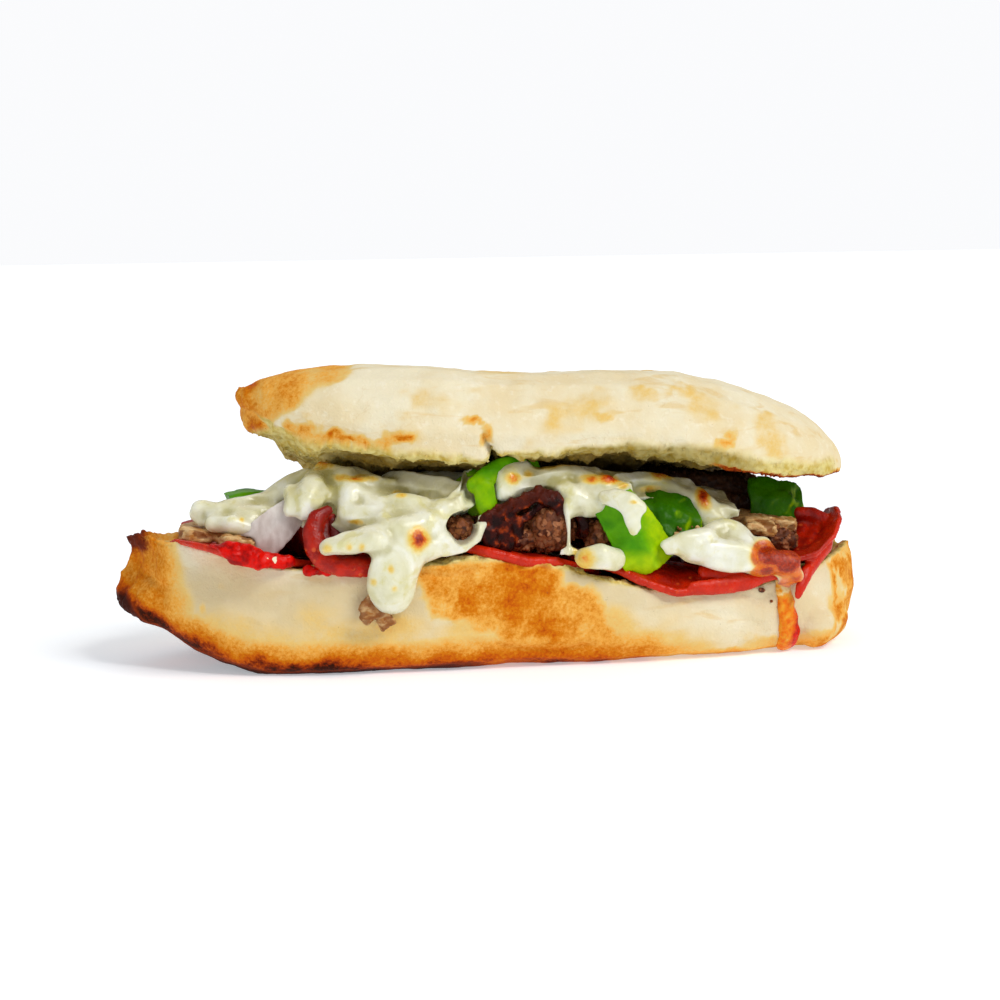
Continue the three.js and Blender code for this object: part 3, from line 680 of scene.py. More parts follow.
@kept_material("melted cheese")
def cheese_material(name):
    """Melted cheese. Reads how browned and how oily it is, and where it turns olive: where what lies
    under it shows through, and where painted shade falls towards the back and in its hollows.
    """
    material, g, shader = new_material(name)
    s = settings()
    brown = g.attribute("brown")
    fine = g.cloud(0.7, detail=5.0, roughness=0.65)
    swirl = g.cloud(7.0, distortion=0.6)
    pale = g.ramp(
        swirl,
        (0.3, tint(214, 210, 168)),
        (0.5, s.cheese),
        (0.7, tint(240, 240, 226)),
    )
    browned = g.roughen(brown, fine, g.span(brown, 0.05, 0.5, 0.0, 0.6))
    baked = g.ramp(
        browned,
        (0.0, tint(238, 228, 160)),
        (0.3, tint(230, 194, 86)),
        (0.5, tint(224, 126, 20)),
        (0.72, tint(184, 54, 6)),
        (0.95, tint(108, 18, 4)),
    )
    grease = g.attribute("grease")
    oily = g.mix(g.span(g.cloud(2.4, distortion=0.5), 0.35, 0.65), tint(228, 104, 4), tint(186, 34, 0))
    milky = g.mottled(6.0, 0.52, 0.66, warp=0.5)
    pale = g.mix(g.math("MULTIPLY", milky, 0.55), pale, tint(212, 204, 122))
    # Painted shade, with the colour of what shows through: the cheese turns olive towards the back, in
    # its hollows and over what lies under it.
    thin = g.attribute("thin")
    pale = g.mix(g.math("MULTIPLY", thin, 0.8), pale, tint(166, 156, 76))
    colour = g.mix(g.span(browned, 0.04, 0.25), pale, baked)
    colour = g.mix(g.span(grease, 0.2, 0.8, 0.0, 0.85), colour, oily)
    blister = g.math("MULTIPLY", fine, g.span(brown, 0.2, 0.7))
    height = g.math("ADD", g.relief(3.0, 0.8, 0.25), blister)
    coat(g, shader, colour, g.patches(3.0, 0.14, 0.34), height, 0.22)
    soften(shader, 0.5, (1.0, 0.95, 0.78), 2.6, gloss=0.42)
    return material


@kept_material("cured sausage")
def pepperoni_material(name):
    """Oily cured sausage with specks of fat. Reads how near the rim a point is, for painted light on
    the rims, and where painted shade darkens the insides of the curls.
    """
    material, g, shader = new_material(name)
    s = settings()
    rim = g.attribute("rim")
    lean = g.mix(g.span(g.cloud(4.0), 0.35, 0.65), s.pepperoni, tint(150, 12, 0))
    speck = g.span(g.grains(2.3).outputs["Distance"], 0.34, 0.2)
    big = g.mottled(3.4, 0.48, 0.6)
    colour = g.mix(g.math("MULTIPLY", g.math("MULTIPLY", speck, big), 0.75), lean, s.fat)
    # Painted light: the rims are a brighter orange-red, as where light catches them.
    colour = g.mix(g.span(rim, 0.72, 0.96, 0.0, 0.62), colour, tint(216, 42, 6))
    # Painted shade: the insides of the curled slices are near-black red.
    colour = g.mix(g.attribute("hollow"), colour, tint(92, 2, 0))
    coat(g, shader, colour, g.patches(2.0, 0.18, 0.46), g.relief(2.4, 0.5, 0.4), 0.4)
    soften(shader, 0.04, (1.0, 0.2, 0.08), 0.8, gloss=0.28)
    return material


@kept_material("crisped sausage")
def crisp_material(name):
    """Crisped sausage. Reads how charred it is."""
    material, g, shader = new_material(name)
    char = g.attribute("char")
    base = g.ramp(
        g.cloud(2.6, detail=5.0),
        (0.42, tint(30, 2, 0)),
        (0.55, tint(66, 9, 0)),
        (0.68, tint(164, 60, 6)),
    )
    burnt = g.roughen(char, g.cloud(1.2, detail=5.0), 1.0)
    colour = g.mix(g.span(burnt, 0.25, 0.8, 0.0, 0.85), base, tint(76, 20, 4))
    coat(g, shader, colour, g.patches(1.5, 0.25, 0.55), g.relief(1.6, 0.5, 0.4), 0.5)
    soften(shader, 0.0, (1.0, 0.3, 0.15), 1.0, gloss=0.14)
    return material


@kept_material("crumbled beef")
def beef_material(name):
    """Crumbled beef: moist grains that differ in colour, with painted shade in the gaps between them.
    Reads where painted shade darkens the beef inside the sandwich.
    """
    material, g, shader = new_material(name)
    s = settings()
    grain = g.grains(1.5)
    shade = g.add("ShaderNodeSeparateColor", Color=grain.outputs["Color"]).outputs[0]
    colour = g.ramp(
        shade,
        (0.0, tint(84, 38, 14)),
        (0.5, s.beef),
        (0.85, tint(154, 92, 52)),
        (1.0, tint(178, 116, 76)),
    )
    # Painted shade in the gaps between the grains.
    colour = g.mix(g.span(grain.outputs["Distance"], 0.6, 0.95), colour, tint(64, 26, 10))
    # Painted shade on the beef inside the sandwich.
    colour = g.mix(g.attribute("deep"), colour, tint(22, 8, 3))
    coat(g, shader, colour, g.patches(1.2, 0.35, 0.65), g.relief(1.0, 0.35, 0.4), 0.4)
    soften(shader, 0.06, (1.0, 0.4, 0.25), 0.8)
    return material


@kept_material("cooked pepper")
def pepper_material(name):
    """Green pepper. Reads how much of the surface is cut flesh and how cooked it is."""
    material, g, shader = new_material(name)
    s = settings()
    flesh = g.attribute("flesh")
    skin = g.mix(g.span(g.cloud(5.0), 0.3, 0.7), s.pepper_skin, tint(70, 146, 0))
    skin = g.mix(g.attribute("cooked"), skin, tint(28, 80, 0))
    inner = g.mix(g.span(g.cloud(3.0), 0.3, 0.7), s.pepper_flesh, tint(136, 184, 0))
    colour = g.mix(flesh, skin, inner)
    coat(g, shader, colour, g.span(flesh, 0.2, 0.8, 0.32, 0.36), g.relief(3.0, 0.6, 0.3), 0.3)
    soften(shader, 0.12, (0.5, 1.0, 0.1), 1.4, gloss=0.1)
    return material


@kept_material("roasted mushroom")
def mushroom_material(name):
    """Roasted mushroom, darker at its rim. Reads how near the rim a point is."""
    material, g, shader = new_material(name)
    s = settings()
    rim = g.attribute("rim")
    streak = g.cloud(2.6, detail=4.0, distortion=0.6, stretch=(1.0, 1.0, 2.0))
    flesh = g.mix(g.span(streak, 0.35, 0.7), s.mushroom, tint(178, 118, 52))
    edge = g.roughen(rim, g.cloud(1.6), 0.6)
    colour = g.mix(g.span(edge, 0.3, 1.1, 0.0, 0.85), flesh, tint(128, 66, 14))
    coat(g, shader, colour, g.patches(1.8, 0.3, 0.6), g.relief(1.6, 0.5, 0.4), 0.5)
    soften(shader, 0.08, (1.0, 0.6, 0.3), 1.0, gloss=0.25)
    return material


@kept_material("cooked onion")
def onion_material(name):
    """Translucent cooked onion with faint veins."""
    material, g, shader = new_material(name)
    s = settings()
    vein = g.cloud(2.4, stretch=(1.2, 0.6, 0.5))
    colour = g.mix(g.span(vein, 0.3, 0.7), tint(222, 214, 208), s.onion)
    coat(g, shader, colour, g.patches(2.0, 0.18, 0.35), g.relief(2.0, 0.6, 0.3), 0.1)
    soften(shader, 0.5, (1.0, 0.9, 0.9), 2.5)
    return material


@kept_material("tomato sauce")
def sauce_material(name):
    """Thin tomato sauce. Reads how oily it is."""
    material, g, shader = new_material(name)
    s = settings()
    oil = g.attribute("oil")
    colour = g.mix(g.span(g.cloud(2.5, detail=4.0), 0.4, 0.7), s.sauce, tint(150, 2, 0))
    seeping = g.roughen(oil, g.cloud(1.8), 0.8)
    runny = g.ramp(
        seeping,
        (0.3, tint(206, 58, 0)),
        (0.6, tint(228, 106, 0)),
        (0.85, tint(234, 158, 40)),
        (1.0, tint(236, 212, 150)),
    )
    colour = g.mix(g.span(seeping, 0.15, 0.4), colour, runny)
    coat(g, shader, colour, g.patches(1.5, 0.15, 0.35), g.relief(1.5, 0.5, 0.4), 0.3)
    soften(shader, 0.04, (1.0, 0.15, 0.05), 0.8, gloss=0.14)
    return material


# ---- The bread ----------------------------------------------------------------------------------

# Toasted places on the lower half, as spots() takes them.
LOWER_TOAST = [
    (-3, -37, 27, 7, 30, 3.0, 0.5),
    (-31, -37, 13, 10, 30, 5, 0.24),
    (-50, -37, 16, 12, 30, 6, 0.16),
    (20, 37, 16, 26, 20, 10, 0.6),
    (-42, 37, 12, 18, 20, 8, 0.5),
    (66, 34, 20, 14, 20, 8, 0.4),
]

# The middle of the golden patch on the lower half's front, as (x, z).
GOLDEN_PATCH = [(-12, 25), (-3, 22), (7, 18), (17, 13), (21, 6)]

# What fills the foot of the blunt end.
LOWER_FOOT = [round_run((85, -24, 6.6, 6.6), (91, -14, 7, 7), (92, 0, 7, 7), (88, 14, 7, 7))]

# Where the blunt end is dappled, as spots() takes them.
DAPPLED_END = [
    (93, -21, 11, 3.6, 12, 5, 0.62),
    (88, -24, 1.5, 8, 16, 4.4, 0.62),
    (98, -12, 20, 4, 12, 10, 0.6),
    (86, -27, 24, 4, 8, 2.6, 0.3),
]

# Creases in the lower half's front wall, as (x, z) path, width and depth.
LOWER_CREASES = [
    ([(-24, 27), (-17, 25.6), (-11, 27.4)], 0.8, 1.0),
    ([(-4, 7), (4, 5), (12, 3.8), (21, 6)], 0.8, 0.7),
    ([(46, 17), (52, 13), (60, 12), (68, 8)], 0.9, 0.4),
    ([(-58, 14), (-44, 12), (-30, 13)], 1.6, 0.3),
    ([(64, 17), (68, 15.5), (71, 17)], 1.2, 0.9),
]


def underneath(x):
    """Height of the roll's underside, whose left end rises like a boat's bow."""
    return 17.5 * np.maximum(0, (-58 - x) / 41) ** 1.9


def shape_lower_bread(clay):
    """Shapes the lower half's surface and marks its looks."""
    normals = clay.normals()
    rest = clay.points.copy()
    x, y, z = rest.T
    crumb = ease(0.55, 0.9, normals[:, 2]) * ease(14, 18, z)
    outside = 1 - crumb
    left_end = ease(-86, -98, x)
    clay.points += normals * (0.9 * noise(rest, 30, 1) + 0.4 * noise(rest, 11, 2))[:, None]
    torn = 1.5 * fractal(rest, 5.5, 3, 4) * left_end
    skin = 0.16 * fractal(rest, 3.6, 4, 4) * outside
    gap, _ = cells(rest, 3.2, 5)
    pits = crumb * (0.5 * fractal(rest, 3.0, 6, 3) - 0.7 * ease(0.55, 0.2, gap))
    creases = sum(
        depth * np.exp(-((along_path(rest, path) / width) ** 2))
        for path, width, depth in LOWER_CREASES
    )
    creases = creases * ease(-8, -14, y)
    rim = ease(0.25, 0.6, normals[:, 2]) * ease(14, 18, z)
    rim = rim * (0.5 + 0.3 * fractal(rest, 2.4, 7, 3))
    clay.push(torn + skin + pits - creases + rim)
    # The upper of the two torn tips is the shorter.
    clay.points[:, 0] += 3.4 * ease(25, 31, z) * ease(-88, -98, x) - ease(24, 20, z) * left_end
    clay.points[:, 2] += 1.6 * ease(27, 31, z) * ease(-91, -97, x)
    clay.points[:, 2] = np.maximum(clay.points[:, 2], 0.0)
    front = ease(-2, -10, y)
    grain = fractal(rest, 1.6, 13, 3)
    wander = fractal(rest, 9, 14, 4)
    patch = front * ease(13, 8, along_path(rest, GOLDEN_PATCH) + 5 * wander) * ease(31, 27.5, z)
    core = 1.12 - 0.4 * ease(6, 26, x + 4 * wander)
    patch = 0.55 * patch * (0.92 + 0.16 * grain + 0.24 * wander) * core
    low = z - underneath(x) + 1.4 * noise(rest, 14, 8) + 0.3 * grain
    band = (0.42 * ease(12.5, 6, low) + 0.42 * ease(7, 1.5, low)) * ease(66, 20, x)
    band = band * (1 + 0.3 * ease(-10, -45, x))
    dapple = (0.5 + 0.6 * ease(-0.3, 0.3, fractal(rest, 4.6, 17, 4))) * spots(rest, DAPPLED_END)
    golden = 0.18 * ease(24, 8, z + 6 * noise(rest, 12, 19)) * (0.2 + 0.8 * ease(50, 30, x))
    freckled = 0.14 + 0.44 * ease(-0.3, 0.15, fractal(rest, 3.0, 40, 3))
    freckled = freckled * ease(88.6, 92, x + 1.6 * noise(rest, 5, 41)) * ease(30, 21, z)
    right_end = 0.56 * ease(95, 100.5, x + 1.5 * noise(rest, 6, 18))
    leftward = x + 4 * noise(rest, 9, 9)
    blotches = 0.54 * ease(0.0, 0.7, fractal(rest, 8, 15, 3)) * ease(-70, -90, leftward)
    mottling = ease(0.1, 0.8, fractal(rest, 14, 10, 4)) * ease(22, 6, z + 8 * noise(rest, 20, 16))
    foot = 0.4 * ease(3, 0.8, low)
    toast = np.maximum.reduce(
        [spots(rest, LOWER_TOAST), patch, band, foot, dapple, golden, freckled, right_end]
        + [0.62 * ease(-81, -93, leftward), blotches, 0.26 * mottling * outside]
    )
    toast = toast * (0.85 + 0.25 * fractal(rest, 6, 11, 4))
    char = left_end * ease(-92.5, -99.5, x + 1.6 * noise(rest, 5, 12))
    char = char * np.maximum(1.2 * ease(22, 17, z), 0.62 * ease(27, 31, z))
    under = ease(4.2, 0.6, low) * ease(16, -18, x) * front
    clay.mark("toast", np.maximum(toast, under))
    clay.mark("char", np.maximum(char, 0.8 * ease(2.0, 0.2, low) * ease(4, -24, x) * front))
    clay.mark("crumb", crumb * ease(-80, -72, x))
    # Painted shade on the crumb further back, under the fillings.
    clay.mark("soaked", 0.6 * crumb * ease(-33, -26, y))
    # Painted shade on the lower wall, patchy, below the rim and stronger to the left.
    bare = 0.25 + 0.6 * ease(-0.5, 0.5, fractal(rest * (0.6, 1, 1), 11, 42, 4))
    clay.mark("bare", bare * ease(34, 24, z) * (0.5 + 0.5 * ease(46, 16, x)))
    clay.save()


# Toasted places on the upper half, as spots() takes them.
UPPER_TOAST = [
    (-64, -8, 64, 3.4, 9, 3.0, 0.8),
    (-53, -23, 63.8, 3.2, 9, 2.4, 0.8),
    (-50.4, -24, 62.4, 2.6, 9, 1.6, 0.74),
    (-47, -26, 62.0, 3.0, 9, 1.7, 0.84),
    (-42, -28, 61.2, 3.4, 9, 1.4, 0.76),
    (-37.5, -29, 60.8, 3.0, 9, 1.0, 0.66),
    (-28.6, -31, 61.8, 2.8, 9, 1.8, 0.86),
    (-33, -31, 60.6, 4, 9, 0.8, 0.4),
    (-9, -33, 65.8, 3, 8, 1.0, 0.5),
    (-6.0, -34, 62.5, 1.4, 8, 2.4, 0.5),
    (59.5, -25, 60.0, 1.9, 8, 1.8, 0.8),
    (57, -27, 57.4, 3, 8, 1.4, 0.8),
    (24, -28, 71, 9, 12, 2.4, 0.14),
    (36, -28, 71.5, 7, 12, 2.0, 0.16),
    (47, -25, 71.5, 8, 12, 2.4, 0.18),
    (25, -31, 66.5, 5, 10, 1.4, 0.2),
    (-1.3, -8, 78.4, 2.4, 6, 1.2, 0.6),
    (15, -8, 77.6, 2.4, 6, 1.2, 0.58),
    (42.6, -8, 76, 3.4, 6, 1.0, 0.42),
    (73.5, -8, 69.6, 2.4, 5, 1.0, 0.5),
    (-20, 22, 66, 16, 12, 9, 0.45),
    (34, 18, 68, 20, 12, 8, 0.5),
    (72, 10, 64, 9, 10, 6, 0.34),
]

# Blisters on the lid, as spots() takes them.
UPPER_BLISTERS = [
    (-1.3, -8, 78.4, 2.6, 4, 3, 0.9),
    (15, -8, 77.6, 2.4, 4, 3, 0.9),
    (42.6, -8, 76, 3.4, 4, 3, 0.6),
    (24, 6, 79, 6, 8, 4, 0.6),
]

# What makes the lid's left tip blunt.
UPPER_NOSE = [
    round_run((-62.3, -5, 66.4, 4.6), (-61.5, 2, 66.6, 5.6), (-58, 9, 66, 6)),
    round_run((-61, -8, 66, 4.4), (-56, -12, 66.5, 5)),
]

# The height of the lid's front edge, and of the band of crumb over it, as a row of x and a row of
# heights.
LID_EDGE = (
    (-67, -58, -40, -6, 29, 45, 57, 69, 82, 99),
    (68, 62, 58.8, 56.2, 56, 54, 51.5, 49, 47.2, 47),
)
CRUMB_BAND = (
    (-60, -30, 0, 22, 40, 52, 70, 99),
    (1.8, 1.6, 1.4, 3, 5, 6.4, 6, 5),
)


def lid_half_width(x):
    """Half the lid's width at x, which is nothing at its two tips."""
    share = np.abs((x - 15) / 84)
    return 35 * np.sqrt(np.maximum(0, 1 - share**3.4))


def shape_upper_bread(clay):
    """Shapes the upper half's surface and marks its looks."""
    normals = clay.normals()
    rest = clay.points.copy()
    x, y, z = rest.T
    # The torn edge shows at the front as a band of crumb under the crust.
    height = z - np.interp(x, *LID_EDGE) + 0.7 * fractal(rest, 4, 34, 3)
    band = ease(1.0, 0.5, height / np.interp(x, *CRUMB_BAND)) * ease(-12, -20, y)
    under = np.maximum(ease(-0.45, -0.72, normals[:, 2]), band)
    outside = 1 - under
    clay.points += normals * (0.8 * noise(rest, 26, 21) + 0.45 * noise(rest, 9, 22))[:, None]
    left_end = ease(-58, -66, x)
    torn = 0.6 * fractal(rest, 4, 23, 3) * left_end
    skin = 0.16 * fractal(rest, 3.6, 24, 4) * outside
    gap, _ = cells(rest, 3.0, 25)
    pits = under * (0.7 * fractal(rest, 4.0, 26, 4) - 0.8 * ease(0.5, 0.2, gap))
    pits = pits * (1 - 0.85 * ease(40, 62, x))
    # The rim is split at the front, and the flap left of the split hangs lower.
    front = ease(-14, -22, y)
    crack = np.abs(x + 8.5 - 0.5 * (65 - z) - 0.8 * noise(rest, 3, 27))
    split = front * ease(67.5, 60, z) * (0.6 + 3.2 * ease(66, 56, z))
    split = split * np.exp(-((crack / 0.85) ** 2))
    clay.push(torn + skin + pits - split + spots(rest, UPPER_BLISTERS))
    flap = front * ease(-26, -12, x) * ease(-4.5, -6.5, x) * ease(61, 56, z)
    hanging = under * (0.5 + 2.2 * np.maximum(0, fractal(rest, 5, 28, 4))) * (1 - 0.7 * ease(50, 66, x))
    hanging = hanging + 1.2 * under * ease(-14, -26, x) * ease(-62, -54, x)
    clay.points[:, 2] -= 1.6 * flap + hanging
    ragged = np.stack([fractal(rest, 3, seed, 3) for seed in (37, 38, 39)], axis=-1)
    toast = spots(rest + 1.5 * ragged, UPPER_TOAST)
    streaks = fractal(rest * (0.35, 1, 1), 5, 32, 4)
    patches = ease(0.0, 0.8, fractal(rest, 18, 29, 4) + 0.3 * streaks) * outside
    toast = np.maximum(toast, 0.15 * patches)
    # The left end is browned down to a slanting line.
    slanting = z - 66.5 - 0.66 * (x + 60) + 1.6 * fractal(rest, 7, 35, 4)
    toast = np.maximum(toast, 0.44 * ease(-2.0, 2.6, slanting) * ease(-22, -36, x))
    toast = np.maximum(toast, 0.56 * ease(-60, -66, x + 2 * noise(rest, 5, 36)))
    # To the right, the torn edge is toasted along its lowest line.
    edge = y + lid_half_width(x)
    lowest = ease(-0.2, -0.5, normals[:, 2]) * ease(7, 3.5, edge) * ease(46, 60, x)
    toast = toast * (0.85 + 0.35 * fractal(rest, 5, 30, 4))
    clay.mark("toast", np.maximum(toast, 0.86 * lowest))
    clay.mark("char", 0.2 * left_end * ease(0.1, 0.6, noise(rest, 5, 31)))
    clay.mark("crumb", under * ease(-66, -62, x))
    # Painted shade under the lid: darker further in from its front edge except at the left end, darker
    # along the right part of the crumb band, and a little all over.
    depth = ease(3.5, 9, edge + 1.2 * noise(rest, 4, 33))
    soaked = np.maximum(0.85 * depth * ease(-52, -38, x), 0.58 * ease(8, 26, x) * ease(76, 60, x))
    clay.mark("soaked", under * np.maximum(soaked, 0.16))
    clay.save()


# ---- Operators ----------------------------------------------------------------------------------


class SandwichOperator:
    """What all the sandwich's operators share."""

    bl_options = {"REGISTER", "UNDO"}


class SANDWICH_OT_lower_bread(SandwichOperator, bpy.types.Operator):
    """Make the lower half of the roll"""

    bl_idname = "sandwich.lower_bread"
    bl_label = "Lower Bread"

    def execute(self, context):
        piece, clay = fine_copy("roll_lower", settings().bread_detail, rounds=14, runs=LOWER_FOOT)
        shape_lower_bread(clay)
        finish_piece(piece, bread_material(), "bread", "roll_lower")
        return {"FINISHED"}


class SANDWICH_OT_upper_bread(SandwichOperator, bpy.types.Operator):
    """Make the upper half of the roll"""

    bl_idname = "sandwich.upper_bread"
    bl_label = "Upper Bread"

    def execute(self, context):
        piece, clay = fine_copy("roll_upper", settings().bread_detail, rounds=14, runs=UPPER_NOSE)
        shape_upper_bread(clay)
        finish_piece(piece, bread_material(), "bread", "roll_upper")
        return {"FINISHED"}


def nodes_named(start):
    """The solids whose names start that way, in order."""
    return sorted(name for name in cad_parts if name.startswith(start))


def middle_of(node):
    """The middle of a solid's box."""
    low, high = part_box(node)
    return (np.array((low + high) / 2) - ORIGIN) / MM


# The rolled rims of the two slices that curl up at their ends, and what joins them to the slices.
CURL_RIMS = {
    "pepperoni_front_2": flat_run(
        (-47.6, -30, 43.6, 1.6),
        (-50.6, -31, 42.2, 2.0),
        (-51.8, -32.4, 38.8, 2.3),
        (-51.4, -33.8, 35, 2.4),
        (-49.6, -35.2, 32, 2.2),
        (-46.2, -36.2, 30.2, 1.8),
        (-41, -36.6, 29.4, 1.5),
        (-36, -36.6, 29.2, 1.5),
    ),
    "pepperoni_front_5": flat_run(
        (91.2, -15, 34.0, 1.8),
        (91.4, -18, 31.2, 2.1),
        (88.6, -23, 27.6, 2.2),
        (84.4, -27, 24.6, 2.1),
        (80.8, -31, 21.8, 1.9),
        (78.6, -33.4, 18.4, 1.6),
        (77.6, -34, 16.2, 1.0),
    ),
}
CURL_FILLS = {
    "pepperoni_front_4": [
        flat_run((48, -37, 21, 1.6), (56, -36, 21, 1.8), (64, -35, 21.3, 1.8), (72, -33.4, 22.2, 1.5)),
        round_run((52, -33, 23, 1.8), (60, -32.6, 23, 1.8), (68, -31, 23.6, 1.8)),
    ],
    "pepperoni_front_2": [
        flat_run((-46.4, -27.4, 41, 1.6), (-46, -28.6, 37, 1.8), (-44.4, -30.4, 33.4, 1.8)),
        flat_run((-48.4, -29.6, 41, 1.4), (-48.6, -31.2, 37, 1.5), (-47, -33, 33.4, 1.5)),
        flat_run((-46, -33.5, 32, 2), (-42, -34.6, 30.8, 1.8), (-37, -35, 30.4, 1.6)),
    ],
    "pepperoni_front_5": [
        round_run((84.6, -12, 35.6, 1.8), (88.2, -13, 35.4, 2.0), (91, -15, 34, 2.0)),
        round_run((85.4, -11, 33, 2), (88.6, -12.5, 32.4, 2), (90, -15, 31, 2)),
        flat_run((86.4, -11, 31.2, 3), (84.6, -15, 28.8, 3.2), (81.8, -19, 26.4, 3)),
        round_run((88, -14, 30, 2.4), (86, -18, 28, 2.4), (82.4, -23, 25.6, 2.4)),
        round_run((84, -17, 28, 2.4), (80, -23, 25, 2.4), (76, -27, 23.6, 2)),
    ],
}


class SANDWICH_OT_pepperoni(SandwichOperator, bpy.types.Operator):
    """Make the slices of cured sausage"""

    bl_idname = "sandwich.pepperoni"
    bl_label = "Pepperoni"

    def execute(self, context):
        detail = settings().slice_detail
        for index, node in enumerate(nodes_named("pepperoni_front") + nodes_named("pepperoni_back")):
            curled = node in CURL_RIMS
            runs = CURL_FILLS.get(node, []) + ([CURL_RIMS[node]] if curled else [])
            piece, clay = fine_copy(node, detail, rounds=12, swell=0.4, runs=runs)
            rest = clay.points.copy()
            x, y, z = rest.T
            away = np.linalg.norm((rest - middle_of(node))[:, :2], axis=1)
            rim = away / np.percentile(away, 95)
            front = ease(-24, -36, y) * ease(72, 62, x)
            clay.push(0.12 * fractal(rest, 3.5, 40 + index, 3) + 0.6 * front * ease(0.82, 0.97, rim))
            # The front edge droops until it meets the bread, from a crown under the cheese.
            crown = ease(-37, -30, y) * ease(-8, -16, y)
            clay.points[:, 2] += 2.4 * crown * ease(24, 34, x) * ease(72, 64, x) - front
            left_curl = node == "pepperoni_front_2"
            # The rims get painted light, held back at the left end of the left curl's slice.
            clay.mark("rim", rim * (1 - 0.28 * left_curl * ease(-28, -34, x)))
            # Painted shade inside the curls, away from their rims, darkest in the left one.
            hollow = 0.4 * ease(-39, -42, x) * ease(34, 37, z) * left_curl
            if curled:
                path = [(stop[0], stop[2]) for stop in CURL_RIMS[node][0]]
                raised = ease(-39, -42, x) + ease(76, 79, x)
                inner = raised * ease(1.9, 3.2, along_path(rest, path))
                hollow = np.maximum(hollow, inner * (0.95 if left_curl else 0.35))
            clay.mark("hollow", hollow)
            clay.save()
            finish_piece(piece, pepperoni_material(), "pepperoni", node)
        return {"FINISHED"}


# The folded body and the frilled crest of the crisped slice.
CRISP_FOLDS = [
    flat_run((-7.6, -33.2, 39.4, 1.4), (-3.5, -32.6, 41.6, 1.8), (0.5, -32.2, 42.8, 2)),
    flat_run((0.5, -32.2, 42.6, 2), (4.5, -31.4, 44.4, 2.2), (8.4, -31, 45.6, 2.4)),
    flat_run((8.4, -31, 45.4, 2.4), (12, -31, 44.4, 2.4), (14, -31, 41.6, 1.9), (14.2, -31, 38, 1.3)),
    flat_run((-7.2, -33, 38.4, 1.8), (-5.8, -33, 35.6, 2.4), (-5.2, -33, 33.4, 2.2)),
    flat_run((-4.4, -32.4, 39.6, 2.4), (-2.2, -31.8, 36.4, 3), (-1.4, -31.6, 33.4, 2.8)),
    flat_run((-0.6, -31.2, 40.6, 2.6), (1.4, -30.4, 37.6, 2.8), (1.8, -30.2, 34, 2.4)),
]


class SANDWICH_OT_crisp(SandwichOperator, bpy.types.Operator):
    """Make the crisped, curled slice"""

    bl_idname = "sandwich.crisp"
    bl_label = "Crisped Slice"

    def execute(self, context):
        detail = settings().filling_detail
        piece, clay = fine_copy("pepperoni_crisp", detail, rounds=4, swell=0.2, runs=CRISP_FOLDS)
        rest = clay.points.copy()
        x, y, z = rest.T
        crest = ease(39, 45, z - 0.25 * x)
        clay.push((0.35 + 0.8 * crest) * fractal(rest, 2.4, 60, 4))
        clay.mark("char", crest * ease(-27, -31, y))
        clay.save()
        finish_piece(piece, crisp_material(), "crisp_meat", "pepperoni_crisp")
        return {"FINISHED"}


# More crumbled beef where the filling shows between the slices and the lid.
BEEF_RUNS = [
    round_run((52, -8, 38, 4.5), (64, -6, 37.5, 5), (76, -2, 35.5, 4.5)),
    round_run((48, 2, 40, 5), (62, 4, 39, 5.5), (78, 4, 35, 4.5)),
    round_run((-20, -20, 36, 4), (-8, -22, 36, 4.5), (6, -22, 37, 5)),
    round_run((20, -20, 36, 4), (32, -20, 34, 4)),
    round_run((36, -8, 43, 4), (50, -6, 43.4, 4.4), (62, -2, 42.4, 4.6), (74, 2, 40.4, 4.6)),
    round_run((46, 6, 43.6, 4.6), (60, 8, 42.4, 4.8), (76, 10, 40, 4.8)),
]


class SANDWICH_OT_beef(SandwichOperator, bpy.types.Operator):
    """Make the crumbled beef"""

    bl_idname = "sandwich.beef"
    bl_label = "Beef"

    def execute(self, context):
        for index, node in enumerate(["beef_filling"] + nodes_named("beef_nugget")):
            core = node == "beef_filling"
            detail = settings().filling_detail * (1.5 if core else 1)
            runs = BEEF_RUNS if core else ()
            piece, clay = fine_copy(node, detail, rounds=3, swell=0.3, runs=runs)
            rest = clay.points.copy()
            x, y, z = rest.T
            first, second = cells(rest + 0.5 * noise(rest, 1.6, 79)[:, None], 2.3, 70 + index)
            grain = 0.7 * ease(0.0, 0.45, second - first) - 0.35
            clay.push(grain + 0.8 * fractal(rest, 5, 80, 4))
            clay.mark("loose", ease(-6, -16, y) * ease(24, 28, z))
            # Painted shade on the core of the filling, inside the sandwich.
            inside = ease(-17, -11, y) * ease(16, 8, y) * ease(82, 74, x)
            clay.mark("deep", 0.85 * core * inside)
            clay.save()
            finish_piece(piece, beef_material(), "beef", node)
        return {"FINISHED"}


WILTED_STRIPS = ("pepper_strip_3", "pepper_strip_4")

# How far the first strip reaches forward under the cheese.
PEPPER_RUNS = {
    "pepper_strip_1": [
        flat_run(
            (-8.4, -28.6, 48.4, 2.6), (-5.2, -28.2, 50.4, 3.2), (-1, -26.8, 52.6, 2.8), (4, -25, 54, 2)
        ),
        flat_run((-6.4, -29.6, 47.4, 3), (-6, -30.2, 43.6, 3), (-5.2, -30.6, 41, 2.4)),
    ],
}


